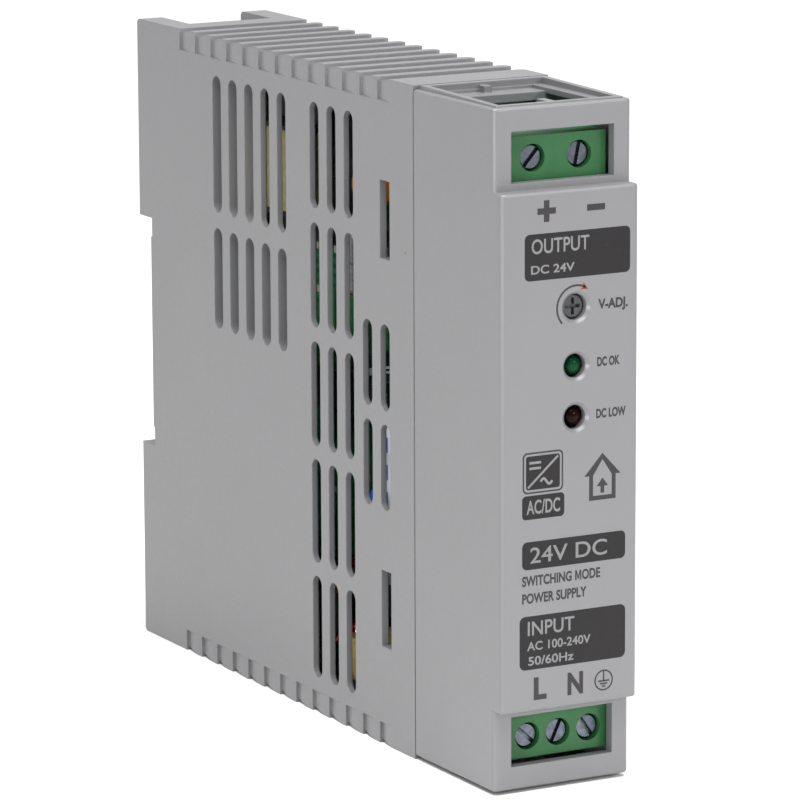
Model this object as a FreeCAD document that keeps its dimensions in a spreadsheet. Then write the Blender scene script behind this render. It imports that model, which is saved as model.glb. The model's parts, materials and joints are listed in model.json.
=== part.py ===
"""DIN rail power supply, 22.5 mm wide, for a 35 mm top-hat rail.

Frame: millimetres, +Z up, the front faces -Y. The origin is the centre of the seat that rests
on the rail, so the rail plane is Y = 0 and the jaws reach behind it to positive Y.
Every size is a cell of the sheet "Sizes", and every piece takes its sizes from there.
"""
import FreeCAD
import Part

import math
import os
import re

import Sketcher

doc = FreeCAD.newDocument("DinRailPowerSupply")

# ---------------------------------------------------------------- driving dimensions, mm
SIZES = {
    # case
    "case_width": 22.5, "case_height": 100, "case_depth": 112.5, "wall_thick": 1.6,
    "back_wall": 1.6, "edge_round": 0.8, "seam_depth": 86.8, "seam_gap": 0.3,
    # rail side: jaws, notch, seat and latch recess
    "jaw_reach": 4, "notch_height": 37, "seat_height": 31, "seat_proud": 0.4,
    "recess_width": 14.4, "recess_depth": 6.5, "recess_top": 22, "recess_low": 12,
    "lip_gap": 1.3, "hook_drop": 2.2, "hook_width": 13.6,
    # grip ribs around the top and bottom edges
    "rib_pitch": 5.41, "rib_count": 13, "rib_first": 11.1, "rib_ramp": 4.4, "rib_deep": 0.62,
    "rib_side_deep": 0.4, "rib_wrap": 3.3,
    # side vents: radius of the slots and the column positions behind the front
    "vent_radius": 1.45, "vent_pitch": 5.41,
    "vent_rear": 23.9, "vent_middle": 56.2, "vent_front": 72.7, "vent_wall": 0.95,
    "vent_margin": 1,
    # snap windows and the cover's tongues
    "snap_front": 79.7, "snap_back": 76.7, "snap_centre": 29.2, "snap_height": 11.6,
    "catch_sunk": 0.9, "snap_wall": 1.15,
    # front cover
    "face_setback": 2.25, "label_height": 75, "cover_draft": 0.4, "front_wall": 1.6,
    "roof_wall": 1.8, "window_low": 38.6, "window_high": 46, "window_width": 16.8,
    "entry_width": 15.4, "entry_front": 105.9, "entry_back": 88.5,
    "rim_inset": 0.9, "rim_proud": 0.2, "rim_width": 1, "ledge_deep": 1, "skirt_thick": 1.05, "skirt_reach": 3,
    "skirt_play": 0.1, "flange_depth": 5,
    # controls on the front, one above the other
    "control_x": 0.9, "trim_z": 20.6, "led_ok_z": 12.1, "led_low_z": 4.7,
    "led_hole": 1.75, "trim_hole": 1.9, "hole_bevel": 0.45,
    # boards
    "board_thick": 1.6, "front_board_y": 96.25, "front_board_width": 17,
    "front_board_height": 92.8, "main_board_x": 6, "main_board_height": 93,
    "main_board_front": 94.3, "main_board_back": 10.5,
    # screw terminals, measured from the front board outwards
    "block_depth": 12, "block_length": 8.8, "block_skin": 0.55, "floor_thick": 1,
    "output_pitch": 7.62, "input_pitch": 5.08, "input_x": 0.5,
    "output_reach": 44.95, "input_reach": 45.5, "screw_inset": 3.2,
    "well_radius": 2, "cell_width": 4.3, "cell_length": 5, "cell_top": 9.5, "web_top": 9.85,
    "head_radius": 1.85, "head_thick": 1.5, "head_play": 0.02, "shank_radius": 1.25, "shank_end": 5.25,
    "slot_wide": 0.6, "slot_deep": 0.75, "thread_play": 0.05,
    "cage_width": 4, "cage_length": 4.6, "cage_floor": 1.2, "cage_plate": 0.75,
    "cage_top": 7.05, "cage_side": 0.5,
    "contact_z": 4.55, "contact_thick": 0.6, "contact_width": 2.4, "contact_length": 5.4,
    "tail_width": 0.9, "tail_reach": 1.9, "entry_wide": 3.2, "entry_tall": 2.9,
    "entry_z": 1.6,
    # trimmer and indicators, measured from the front board outwards
    "trimmer_width": 6.6, "trimmer_depth": 7, "rotor_radius": 1.78, "rotor_start": 5,
    "rotor_end": 15.2, "rotor_play": 0.06,
    "led_radius": 1.66, "led_flange": 1.9, "led_seat": 9.5, "led_dome": 14.2,
    "leg_radius": 0.25, "leg_spacing": 2.54,
    # rail latch and its spring
    "latch_back": 1.2, "latch_thick": 4.2, "latch_play": 0.25,
    "latch_foot": 49.4, "latch_head": 18.9, "latch_nose": 16.3, "groove_wide": 1.1,
    "post_top": 34, "post_thick": 2.5, "post_width": 4, "spring_top": 21,
    "spring_radius": 1.7, "spring_wire": 0.4, "spring_turns": 7,
    # parts on the main board
    "bulk_radius": 6.25, "bulk_length": 25, "smooth_radius": 5, "smooth_length": 14,
    "core_width": 21, "core_height": 21, "core_thick": 6, "core_bar": 3.2, "core_leg": 5.8,
    "bobbin_wall": 0.8, "bobbin_half": 7.1, "tape_thick": 2.9,
    "transformer_x": -1.6, "transformer_y": -38.9, "transformer_z": 31.2,
    "choke_radius": 6.2, "choke_bore": 3.2, "choke_thick": 5.6, "choke_wire": 0.95,
    "sink_thick": 1.6, "package_thick": 3, "package_width": 8, "package_height": 11,
    "disc_radius": 4.5, "disc_thick": 4, "leg_round": 0.4,
}

sheet = doc.addObject("Spreadsheet::Sheet", "Sizes")
for row, (alias, number) in enumerate(SIZES.items(), start=1):
    sheet.set(f"A{row}", alias)
    sheet.set(f"B{row}", str(number))
    sheet.setAlias(f"B{row}", alias)
doc.recompute()


# ---------------------------------------------------------------- helpers
def formula(text):
    """The expression for a text such as "case_width / 2", whose words are aliases."""
    return re.sub(r"\b[a-z][a-z0-9]*(?:_[a-z0-9]+)+\b", r"Sizes.\g<0>", str(text))


def value(text):
    """The number that such a text comes to."""
    return float(sheet.evalExpression(formula(text)))


def bind(thing, prop, text):
    thing.setExpression(prop, formula(text))


def place(thing, x="0", y="0", z="0", turn=None):
    """Put a piece at a place given by the sheet, turned by a rotation."""
    thing.Placement = FreeCAD.Placement(FreeCAD.Vector(), turn or FreeCAD.Rotation())
    for axis, text in zip("xyz", (x, y, z)):
        bind(thing, f"Placement.Base.{axis}", text)
    return thing


# Outlines: each returns a function that draws it in a sketch, tied to the sheet.
def corners(*points):
    """A closed polygon through the points."""
    def draw(sketch):
        places = [FreeCAD.Vector(value(u), value(v), 0) for u, v in points]
        first = sketch.GeometryCount
        for here, there in zip(places, places[1:] + places[:1]):
            sketch.addGeometry(Part.LineSegment(here, there))
        for step, (u, v) in enumerate(points):
            line = first + step
            following = first + (step + 1) % len(points)
            sketch.addConstraint(Sketcher.Constraint("Coincident", line, 2, following, 1))
            tie(sketch, "DistanceX", (line, 1), u)
            tie(sketch, "DistanceY", (line, 1), v)
    return draw


def rectangle(left, low, right, high):
    return corners((left, low), (right, low), (right, high), (left, high))


def circle(u, v, radius):
    def draw(sketch):
        centre = FreeCAD.Vector(value(u), value(v), 0)
        ring = sketch.addGeometry(Part.Circle(centre, FreeCAD.Vector(0, 0, 1), value(radius)))
        tie(sketch, "Radius", (ring,), radius)
        tie(sketch, "DistanceX", (ring, 3), u)
        tie(sketch, "DistanceY", (ring, 3), v)
    return draw


def slot(u, low, high, radius):
    """An upright slot with round ends, from its lowest to its highest point."""
    def draw(sketch):
        across, half = value(u), value(radius)
        top, bottom = value(high) - half, value(low) + half
        normal = FreeCAD.Vector(0, 0, 1)
        cap = Part.Circle(FreeCAD.Vector(across, top, 0), normal, half)
        cup = Part.Circle(FreeCAD.Vector(across, bottom, 0), normal, half)
        upper = sketch.addGeometry(Part.ArcOfCircle(cap, 0, math.pi))
        left = sketch.addGeometry(Part.LineSegment(FreeCAD.Vector(across - half, top, 0),
                                                   FreeCAD.Vector(across - half, bottom, 0)))
        lower = sketch.addGeometry(Part.ArcOfCircle(cup, math.pi, 2 * math.pi))
        right = sketch.addGeometry(Part.LineSegment(FreeCAD.Vector(across + half, bottom, 0),
                                                    FreeCAD.Vector(across + half, top, 0)))
        for one, other in ((upper, left), (left, lower), (lower, right), (right, upper)):
            sketch.addConstraint(Sketcher.Constraint("Tangent", one, 2, other, 1))
        sketch.addConstraint(Sketcher.Constraint("Equal", upper, lower))
        tie(sketch, "Radius", (upper,), radius)
        for arc, text in ((upper, f"{high} - {radius}"), (lower, f"{low} + {radius}")):
            tie(sketch, "DistanceX", (arc, 3), u)
            tie(sketch, "DistanceY", (arc, 3), text)
    return draw


def tie(sketch, kind, target, text):
    """A dimension of a sketch that follows the sheet."""
    number = sketch.addConstraint(Sketcher.Constraint(kind, *target, value(text)))
    sketch.renameConstraint(number, f"size{number}")
    bind(sketch, f"Constraints.size{number}", text)


# Sketch planes: across X a sketch runs along (Y, Z), across Y along (X, Z), across Z along (X, Y).
PLANES = {"x": ("YZ_Plane", 1), "y": ("XZ_Plane", -1), "z": ("XY_Plane", 1)}


def sketch_across(body, axis, where, outlines):
    role, side = PLANES[axis]
    plane = next(item for item in body.Origin.OriginFeatures if item.Role == role)
    sketch = body.newObject("Sketcher::SketchObject", "Sketch")
    sketch.AttachmentSupport = [(plane, "")]
    sketch.MapMode = "FlatFace"
    bind(sketch, "AttachmentOffset.Base.z", f"{side} * ({where})")
    for draw in outlines:
        draw(sketch)
    return sketch


def add(body, axis, start, end, *outlines):
    """Material in the shape of the outlines, from start to end along an axis."""
    where = end if axis == "y" else start
    feature = body.newObject("PartDesign::Pad", "Pad")
    feature.Profile = sketch_across(body, axis, where, outlines)
    bind(feature, "Length", f"({end}) - ({start})")
    return feature


def cut(body, axis, start, end, *outlines):
    """A pocket in the shape of the outlines, from start to end along an axis."""
    where = start if axis == "y" else end
    feature = body.newObject("PartDesign::Pocket", "Pocket")
    feature.Profile = sketch_across(body, axis, where, outlines)
    bind(feature, "Length", f"({end}) - ({start})")
    return feature


def repeat_along_y(body, feature, count, pitch):
    """The last feature again at each pitch towards the front."""
    pattern = body.newObject("PartDesign::LinearPattern", "Repeat")
    axis = next(item for item in body.Origin.OriginFeatures if item.Role == "Y_Axis")
    pattern.Originals = [feature]
    pattern.Direction = (axis, [""])
    pattern.Reversed = True
    bind(pattern, "Length", f"({count} - 1) * {pitch}")
    bind(pattern, "Occurrences", count)
    body.Tip = pattern
    return pattern


def dress(body, kind, size, chosen):
    """A fillet or chamfer on the edges of the body that the test picks."""
    doc.recompute()
    last = body.Tip
    names = [f"Edge{n}" for n, edge in enumerate(last.Shape.Edges, start=1) if chosen(edge)]
    if not names:
        raise RuntimeError(f"{body.Label}: no edge to dress")
    feature = body.newObject(f"PartDesign::{kind}", kind)
    feature.Base = (last, names)
    bind(feature, "Radius" if kind == "Fillet" else "Size", size)
    return feature


def runs_along(edge, axis, **places):
    """True for a straight edge along an axis whose other coordinates are as given, up to sign."""
    if not isinstance(edge.Curve, Part.Line):
        return False
    along = edge.Curve.Direction
    if abs(abs(getattr(along, axis)) - 1) > 0.02:
        return False
    middle = edge.CenterOfMass
    return all(abs(abs(getattr(middle, name)) - abs(value(text))) < 0.02
               for name, text in places.items())


pieces = []


def body_named(label):
    body = doc.addObject("PartDesign::Body", label)
    body.Label = label
    pieces.append(body)
    return body


def solid(kind, label, **bound):
    thing = doc.addObject(f"Part::{kind}", label)
    for prop, text in bound.items():
        bind(thing, prop, text)
    return thing


def box(label, low, high):
    """A block between two corners."""
    spans = [f"({b}) - ({a})" for a, b in zip(low, high)]
    thing = solid("Box", label, Length=spans[0], Width=spans[1], Height=spans[2])
    return place(thing, *low)


TURNS = {
    "x": FreeCAD.Rotation(FreeCAD.Vector(0, 1, 0), 90),
    "y": FreeCAD.Rotation(FreeCAD.Vector(1, 0, 0), -90),
    "z": FreeCAD.Rotation(),
}


def rod(label, axis, start, length, radius):
    """A cylinder from a start point along +X, +Y or +Z."""
    thing = solid("Cylinder", label, Radius=radius, Height=length)
    return place(thing, *start, turn=TURNS[axis])


def joined(label, *things):
    whole = doc.addObject("Part::MultiFuse", label)
    whole.Shapes = list(things)
    return whole


def without(label, base, *tools):
    rest = doc.addObject("Part::Cut", label)
    rest.Base = base
    rest.Tool = tools[0] if len(tools) == 1 else joined(f"{label}_tools", *tools)
    return rest


def softened(label, base, radius, chosen=lambda edge: True):
    """The piece with its chosen edges rounded."""
    doc.recompute()
    size = value(radius)
    smooth = doc.addObject("Part::Fillet", label)
    smooth.Base = base
    smooth.Edges = [(n, size, size) for n, edge in enumerate(base.Shape.Edges, start=1)
                    if chosen(edge)]
    return smooth


def keep(thing, label):
    """List a finished piece under its own name."""
    thing.Label = label
    pieces.append(thing)
    return thing


def kept_group(label, things):
    group = doc.addObject("Part::Compound", label)
    group.Links = list(things)
    return keep(group, label)


# ---------------------------------------------------------------- rear housing
SIDE = "case_width / 2"
ROOF = "case_height / 2"
INNER_SIDE = "(case_width / 2 - wall_thick)"
INNER_ROOF = "(case_height / 2 - wall_thick)"


def make_rear_housing():
    """Box open to the front, with the jaws, the rail seat and the latch recess at its back."""
    body = body_named("rear_housing")
    notch = "notch_height / 2"
    floor = "-seat_proud"
    add(body, "x", f"-{SIDE}", SIDE, corners(
        ("-seam_depth", f"-{ROOF}"), ("jaw_reach", f"-{ROOF}"), ("jaw_reach", f"-{notch}"),
        (floor, f"-{notch}"), (floor, notch), ("jaw_reach", notch), ("jaw_reach", ROOF),
        ("-seam_depth", ROOF)))
    add(body, "y", f"{floor} - 1", "0",
        rectangle(f"-{SIDE}", "-seat_height / 2", SIDE, "seat_height / 2"))
    dress(body, "Fillet", "edge_round", lambda e: runs_along(e, "x", y="jaw_reach", z=ROOF))

    # cavity for the boards, and the core taken out behind the seat
    inside = "-(recess_depth + back_wall)"
    cut(body, "y", "-(seam_depth + 1)", inside,
        rectangle(f"-{INNER_SIDE}", f"-{INNER_ROOF}", INNER_SIDE, INNER_ROOF))
    cut(body, "y", f"{inside} - 1", "-back_wall - seat_proud",
        rectangle("-5.6", "4 - recess_low", "5.6", "recess_top - 8"))

    # recesses between the jaws: the upper one is open at the top, the latch runs in the lower
    half = "recess_width / 2"
    cut(body, "y", "-recess_depth", "jaw_reach + 1",
        rectangle(f"-{half}", "recess_top", half, f"{ROOF} + 1"),
        rectangle(f"-{half}", f"-{ROOF} - 1", half, "-recess_low"))
    cut(body, "y", "-latch_back - latch_thick - latch_play + 1", "-latch_back - 1 + latch_play",
        rectangle(f"-{half} - groove_wide", f"-{ROOF} - 1", f"{half} + groove_wide", "-recess_low"))

    # fixed hook behind the rail's upper lip
    add(body, "x", "-hook_width / 2", "hook_width / 2", corners(
        ("lip_gap", f"{notch} + 1"), ("lip_gap", f"{notch} - hook_drop + 0.4"),
        ("lip_gap + 0.8", f"{notch} - hook_drop"), ("jaw_reach", f"{notch} - 1"),
        ("jaw_reach", f"{notch} + 1")))

    # post that the latch spring stands on
    add(body, "y", "-recess_depth - 0.5", "-latch_back - 0.4",
        rectangle("-post_width / 2", "-post_top - post_thick", "post_width / 2", "-post_top"))

    # guides that hold the main board's upper and lower edges
    guide = "main_board_height / 2 - 0.9"
    near, far = "main_board_x - 0.15", "main_board_x + board_thick + 0.15"
    ribs = []
    for side, wall in (("", INNER_ROOF), ("-", INNER_ROOF)):
        for left, right in ((f"{near} - 1.1", near), (far, f"{far} + 1.1")):
            low, high = (guide, f"{wall} + 0.5") if side == "" else (f"-({wall} + 0.5)", f"-({guide})")
            ribs.append(rectangle(left, low, right, high))
    add(body, "y", "-(seam_depth - 7)", f"{inside} + 0.5", *ribs)
    return body


VENT_GROUPS = (
    # place of the rearmost column, number of columns, how many of them and how many rows have
    # the full wall, lowest and highest point of each slot
    ("vent_rear", 5, 3, 1, ((4.4, 20.2), (22.7, 44.0))),
    ("vent_middle", 3, 0, 0,
     ((-44.4, -28.6), (-26.5, -10.5), (-8.4, 7.6), (9.8, 25.7), (27.9, 43.9))),
    ("vent_front", 2, 0, 0, ((-14.2, -1.3), (0.8, 13.7))),
)


def open_rear_housing(body):
    """Vents in thinner stretches of wall, snap windows and grip ribs."""
    for place_back, columns, full_columns, full_rows, rows in VENT_GROUPS:
        lowest, highest = rows[full_rows][0], rows[-1][1]
        margin = "(vent_radius + vent_margin)"
        cut(body, "x", f"vent_wall - {SIDE}", f"{SIDE} - vent_wall", rectangle(
            f"-({place_back} + {columns - 1} * vent_pitch) - {margin}", f"{lowest} - vent_margin",
            f"{margin} - ({place_back} + {full_columns} * vent_pitch)",
            f"{highest} + vent_margin"))
        column = [slot(f"-{place_back}", low, high, "vent_radius") for low, high in rows]
        vents = cut(body, "x", f"-{SIDE} - 1", f"{SIDE} + 1", *column)
        repeat_along_y(body, vents, columns, "vent_pitch")
    windows = [rectangle("-snap_front", f"{side} * snap_centre - snap_height / 2",
                         "-snap_back", f"{side} * snap_centre + snap_height / 2")
               for side in (-1, 1)]
    cut(body, "x", f"-{SIDE} - 1", f"{SIDE} + 1", *windows)
    # the wall is thinner behind each window, so that a tool can reach the tongue
    reliefs = [rectangle("-snap_back - 0.5", f"{side} * snap_centre - snap_height / 2",
                         "-snap_back + 1.6", f"{side} * snap_centre + snap_height / 2")
               for side in (-1, 1)]
    cut(body, "x", f"snap_wall - {SIDE}", f"{SIDE} - snap_wall", *reliefs)

    # each groove has a steep back wall and a floor that swells up towards the front
    floor = [(f"-(rib_first + {along} * rib_ramp)", deep)
             for along, deep in ((0, 0), (0, 1), (0.2, 0.72), (0.5, 0.34), (0.8, 0.08), (1, 0))]
    across = [corners(*[(along, f"{side} * ({ROOF} - {deep} * rib_deep)")
                        for along, deep in floor]) for side in (-1, 1)]
    groove = cut(body, "x", f"-{SIDE} - 1", f"{SIDE} + 1", *across)
    repeat_along_y(body, groove, "rib_count", "rib_pitch")
    for low, high in ((f"{ROOF} - rib_wrap", f"{ROOF} + 1"), (f"-{ROOF} - 1", f"rib_wrap - {ROOF}")):
        down = [corners(*[(f"{side} * ({SIDE} - {deep} * rib_side_deep)", along)
                          for along, deep in floor]) for side in (-1, 1)]
        groove = cut(body, "z", low, high, *down)
        repeat_along_y(body, groove, "rib_count", "rib_pitch")


# ---------------------------------------------------------------- front cover
FACE = "-case_depth"
STEP = "-(case_depth - face_setback)"
COVER_BACK = "-(seam_depth + seam_gap)"


def make_front_cover():
    """Stepped cap with the label face, the terminal windows and the wire entries."""
    body = body_named("front_cover")
    label = "label_height / 2"
    front_roof = f"({ROOF} - cover_draft)"
    add(body, "x", f"-{SIDE}", SIDE, corners(
        (COVER_BACK, f"-{ROOF}"), (COVER_BACK, ROOF), (STEP, front_roof), (STEP, label),
        (FACE, label), (FACE, f"-{label}"), (STEP, f"-{label}"), (STEP, f"-{front_roof}")))
    dress(body, "Fillet", "edge_round", lambda e: (
        runs_along(e, "z", x=SIDE, y=FACE) or runs_along(e, "z", x=SIDE, y=STEP)))
    dress(body, "Fillet", "edge_round / 2", lambda e: runs_along(e, "x", y=FACE, z=label))

    # hollow, deeper behind the raised label face
    behind = f"{STEP} + front_wall"
    roof = "(case_height / 2 - roof_wall)"
    cut(body, "y", behind, f"{COVER_BACK} + 1",
        rectangle(f"-{INNER_SIDE}", f"-{roof}", INNER_SIDE, roof))
    cut(body, "y", f"{behind} - face_setback", f"{behind} + 1",
        rectangle(f"-{INNER_SIDE}", f"2 - {label}", INNER_SIDE, f"{label} - 2"))

    # wire entries above and below, inside a rim that stands a little proud
    entry = rectangle("-entry_width / 2", "-entry_front", "entry_width / 2", "-entry_back")
    rim = rectangle(f"rim_inset - {SIDE}", f"{STEP} + rim_inset", f"{SIDE} - rim_inset",
                    f"{COVER_BACK} - 0.3")
    outside = rectangle(f"-{SIDE} - 1", f"{STEP} - 1", f"{SIDE} + 1", f"{COVER_BACK} + 1")
    ledge_side = f"({SIDE} - rim_inset - rim_width)"
    ledge = rectangle(f"-{ledge_side}", f"{STEP} + rim_inset + rim_width", ledge_side,
                      f"{COVER_BACK} - 0.3 - rim_width")
    flat = f"({front_roof} - rim_proud)"
    for low, high, face, beyond, floor, over in (
            (roof, ROOF, flat, f"{ROOF} + 1", f"{ROOF} - ledge_deep", f"{ROOF} + 1"),
            (f"-{ROOF}", f"-{roof}", f"-{ROOF} - 1", f"-{flat}",
             f"-{ROOF} - 1", f"ledge_deep - {ROOF}")):
        cut(body, "z", f"{low} - 1", f"{high} + 1", entry)
        cut(body, "z", face, beyond, outside, rim)
        cut(body, "z", floor, over, ledge)
    dress(body, "Fillet", "edge_round / 2", lambda e: runs_along(e, "x", y=STEP, z=flat))

    # terminal windows
    for low, high in (("window_low", "window_high"), ("-window_high", "-window_low")):
        cut(body, "y", f"{FACE} - 1", f"{behind} + 0.5",
            rectangle("-window_width / 2", low, "window_width / 2", high))

    # thick band and skirt that centre the cover in the housing
    band_side = f"({INNER_SIDE} - skirt_thick)"
    band_roof = f"({INNER_ROOF} - skirt_thick - skirt_play)"
    hollow = rectangle(f"-{band_side}", f"-{band_roof}", band_side, band_roof)
    add(body, "y", f"{COVER_BACK} - flange_depth", COVER_BACK,
        rectangle(f"-{INNER_SIDE} - 0.3", f"-{roof} - 0.3", f"{INNER_SIDE} + 0.3", f"{roof} + 0.3"),
        hollow)
    loose_side = f"({INNER_SIDE} - skirt_play)"
    loose_roof = f"({INNER_ROOF} - skirt_play)"
    add(body, "y", f"{COVER_BACK} - 0.5", "skirt_reach - seam_depth",
        rectangle(f"-{loose_side}", f"-{loose_roof}", loose_side, loose_roof), hollow)

    # snap tongues: a hook in each window of the housing
    catch = "-snap_front + 0.3"
    for level in (-1, 1):
        tongues = [corners((f"{side} * {band_side}", "skirt_reach - seam_depth - 0.5"),
                           (f"{side} * {loose_side}", "skirt_reach - seam_depth - 0.5"),
                           (f"{side} * {loose_side}", catch),
                           (f"{side} * ({SIDE} - catch_sunk)", f"{catch} + 0.2"),
                           (f"{side} * ({SIDE} - catch_sunk)", f"{catch} + 0.8"),
                           (f"{side} * {loose_side}", f"{catch} + 2"),
                           (f"{side} * {band_side}", f"{catch} + 2"))
                   for side in (-1, 1)]
        middle = f"{level} * snap_centre"
        add(body, "z", f"{middle} - snap_height / 2 + 0.7", f"{middle} + snap_height / 2 - 0.7",
            *tongues)

    # small dividers at the middle of each wire entry
    for low, high in ((roof, f"{front_roof} - 0.1"), (f"0.1 - {front_roof}", f"-{roof}")):
        add(body, "z", low, high,
            rectangle("-1.1", f"{STEP} + rim_inset + 0.5", "0.2", "1.2 - entry_front"),
            rectangle("-1.1", "-entry_back - 1.2", "0.2", f"{COVER_BACK} - 0.8"))

    # posts that press on the front board
    posts = [circle("-6.2", f"{side} * 31", "1.5") for side in (-1, 1)]
    add(body, "y", f"{FACE} + 1", "-front_board_y - board_thick + 1.55", *posts)
    return body


def open_controls(body):
    """Bevelled holes for the trimmer and the two indicators."""
    cut(body, "y", f"{FACE} - 1", f"{FACE} + 5",
        circle("control_x", "trim_z", "trim_hole"), circle("control_x", "led_ok_z", "led_hole"),
        circle("control_x", "led_low_z", "led_hole"))
    dress(body, "Chamfer", "hole_bevel", lambda e: (
        isinstance(e.Curve, Part.Circle) and e.Curve.Radius < 2.5
        and abs(e.CenterOfMass.y - value(FACE)) < 0.01
        and abs(e.CenterOfMass.x - value("control_x")) < 0.01))


# ---------------------------------------------------------------- rail latch and spring
def make_latch():
    """Slide with a nose behind the rail's lower lip, a foot to pull and a window for the spring."""
    body = body_named("rail_latch")
    back = "-latch_back"
    front = "-(latch_back + latch_thick)"
    half = "(recess_width / 2 - latch_play)"
    add(body, "y", front, back,
        rectangle(f"-{half}", "-latch_foot", half, "-latch_head"))
    flange = f"({half} + groove_wide)"
    add(body, "y", f"{front} + 1 + latch_play", f"{back} - 1 - latch_play",
        rectangle(f"-{flange}", "4 - latch_foot", flange, "-latch_head"))
    notch = "notch_height / 2"
    add(body, "x", f"-{half}", half, corners(
        (f"{back} - 1", "-latch_head - 3.5"), ("jaw_reach", "-latch_head - 3.5"),
        ("jaw_reach", f"-{notch} - 0.2"), ("lip_gap + 0.6", "-latch_nose"),
        ("lip_gap", "-latch_nose - 0.4"), ("lip_gap", f"-{notch} - 0.4"),
        (f"{back} - 1", f"-{notch} - 0.4")))
    # grip for a screwdriver at the foot
    add(body, "y", f"{back} - 1", "jaw_reach - 0.3",
        rectangle("-5.5", "-latch_foot", "5.5", "1.6 - latch_foot"))
    cut(body, "y", f"{front} - 1", f"{back} + 1",
        rectangle("-2.6", "3.2 - latch_foot", "2.6", "6 - latch_foot"),
        rectangle("-post_width / 2 - latch_play", "-post_top - post_thick - latch_play",
                  "post_width / 2 + latch_play", "-spring_top"))
    return body


def make_latch_spring():
    """Closed-end compression spring between the post and the latch."""
    length = value("post_top - spring_top") - 0.1
    radius = value("spring_radius") - value("spring_wire") / 2
    wire = value("spring_wire")
    pitch = (length - wire) / value("spring_turns")
    path = Part.makeHelix(pitch, length - wire, radius)
    section = Part.Wire(Part.Circle(FreeCAD.Vector(radius, 0, 0), FreeCAD.Vector(0, 1, 0),
                                    wire / 2).toShape())
    shape = Part.Wire(path).makePipeShell([section], True, True)
    spring = doc.addObject("Part::Feature", "latch_spring")
    spring.Shape = shape
    middle = value("-latch_back - latch_thick / 2")
    spring.Placement = FreeCAD.Placement(
        FreeCAD.Vector(0, middle, value("-post_top") + 0.05 + wire / 2), FreeCAD.Rotation())
    return keep(spring, "latch_spring")


# ---------------------------------------------------------------- boards
def leg_places():
    """Where the legs of the two indicators meet the front board, across and up."""
    for level in ("led_ok_z", "led_low_z"):
        for side in (-1, 1):
            yield f"control_x + {side} * leg_spacing / 2", level


def make_front_board():
    body = body_named("front_board")
    half_width, half_height = "front_board_width / 2", "front_board_height / 2"
    add(body, "y", "-front_board_y", "board_thick - front_board_y",
        rectangle(f"-{half_width}", f"-{half_height}", half_width, half_height))
    holes = [circle(across, up, "leg_radius + 0.1") for across, up in leg_places()]
    for pole in TERMINALS:
        across, up = pole.tail_place()
        holes.append(circle(across, up, "tail_width / 2 + 0.35"))
    cut(body, "y", "-front_board_y - 1", "board_thick - front_board_y + 1", *holes)
    return body


def make_main_board():
    body = body_named("main_board")
    half = "main_board_height / 2"
    add(body, "x", "main_board_x", "main_board_x + board_thick",
        rectangle("-main_board_front", f"-{half}", "-main_board_back", half))
    return body


def make_board_link():
    """Angled pin header between the two boards."""
    block = box("link_block", ("main_board_x - 2.5", "-main_board_front", "-8"),
                ("main_board_x", "2.5 - main_board_front", "8"))
    pins = []
    for number in range(-3, 4):
        level = f"{number} * leg_spacing"
        pins.append(box(f"link_pin_{number + 4}",
                        ("main_board_x - 1.6", "board_thick - front_board_y", f"{level} - 0.32"),
                        ("main_board_x - 0.96", "1 - main_board_front", f"{level} + 0.32")))
    return keep(joined("board_link", block, *pins), "board_link")


# ---------------------------------------------------------------- screw terminals
# Each terminal is drawn in its own frame: x across, y towards the wire entry, z from the front
# board outwards. The output row is at the top, the input row is turned half round at the bottom.
OUTWARD = FreeCAD.Rotation(FreeCAD.Vector(1, 0, 0), 90)


class Terminal:
    """One pole: its name, its row and its place across."""

    def __init__(self, row, name, across, slot_angle):
        self.row = row
        self.name = name
        self.across = across
        self.slot_angle = slot_angle
        self.up = row == "output"

    def level(self, inset):
        """Height of a point that lies the inset behind the wire entry face."""
        return f"{self.row}_reach - ({inset})" if self.up else f"{inset} - {self.row}_reach"

    def turn(self, angle=0):
        about = 0 if self.up else 180
        spin = FreeCAD.Rotation(FreeCAD.Vector(0, 0, 1), angle + about)
        return OUTWARD.multiply(spin)

    def put(self, thing, angle=0):
        return place(thing, self.across, "-front_board_y", self.level("screw_inset"),
                     turn=self.turn(angle))

    def tail_place(self):
        return self.across, self.level("screw_inset + contact_length - 2")


TERMINALS = [
    Terminal("output", "plus", "-output_pitch / 2", -42),
    Terminal("output", "minus", "output_pitch / 2", -12),
    Terminal("input", "live", "input_x - input_pitch", 48),
    Terminal("input", "neutral", "input_x", -25),
    Terminal("input", "earth", "input_x + input_pitch", 35),
]


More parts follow.
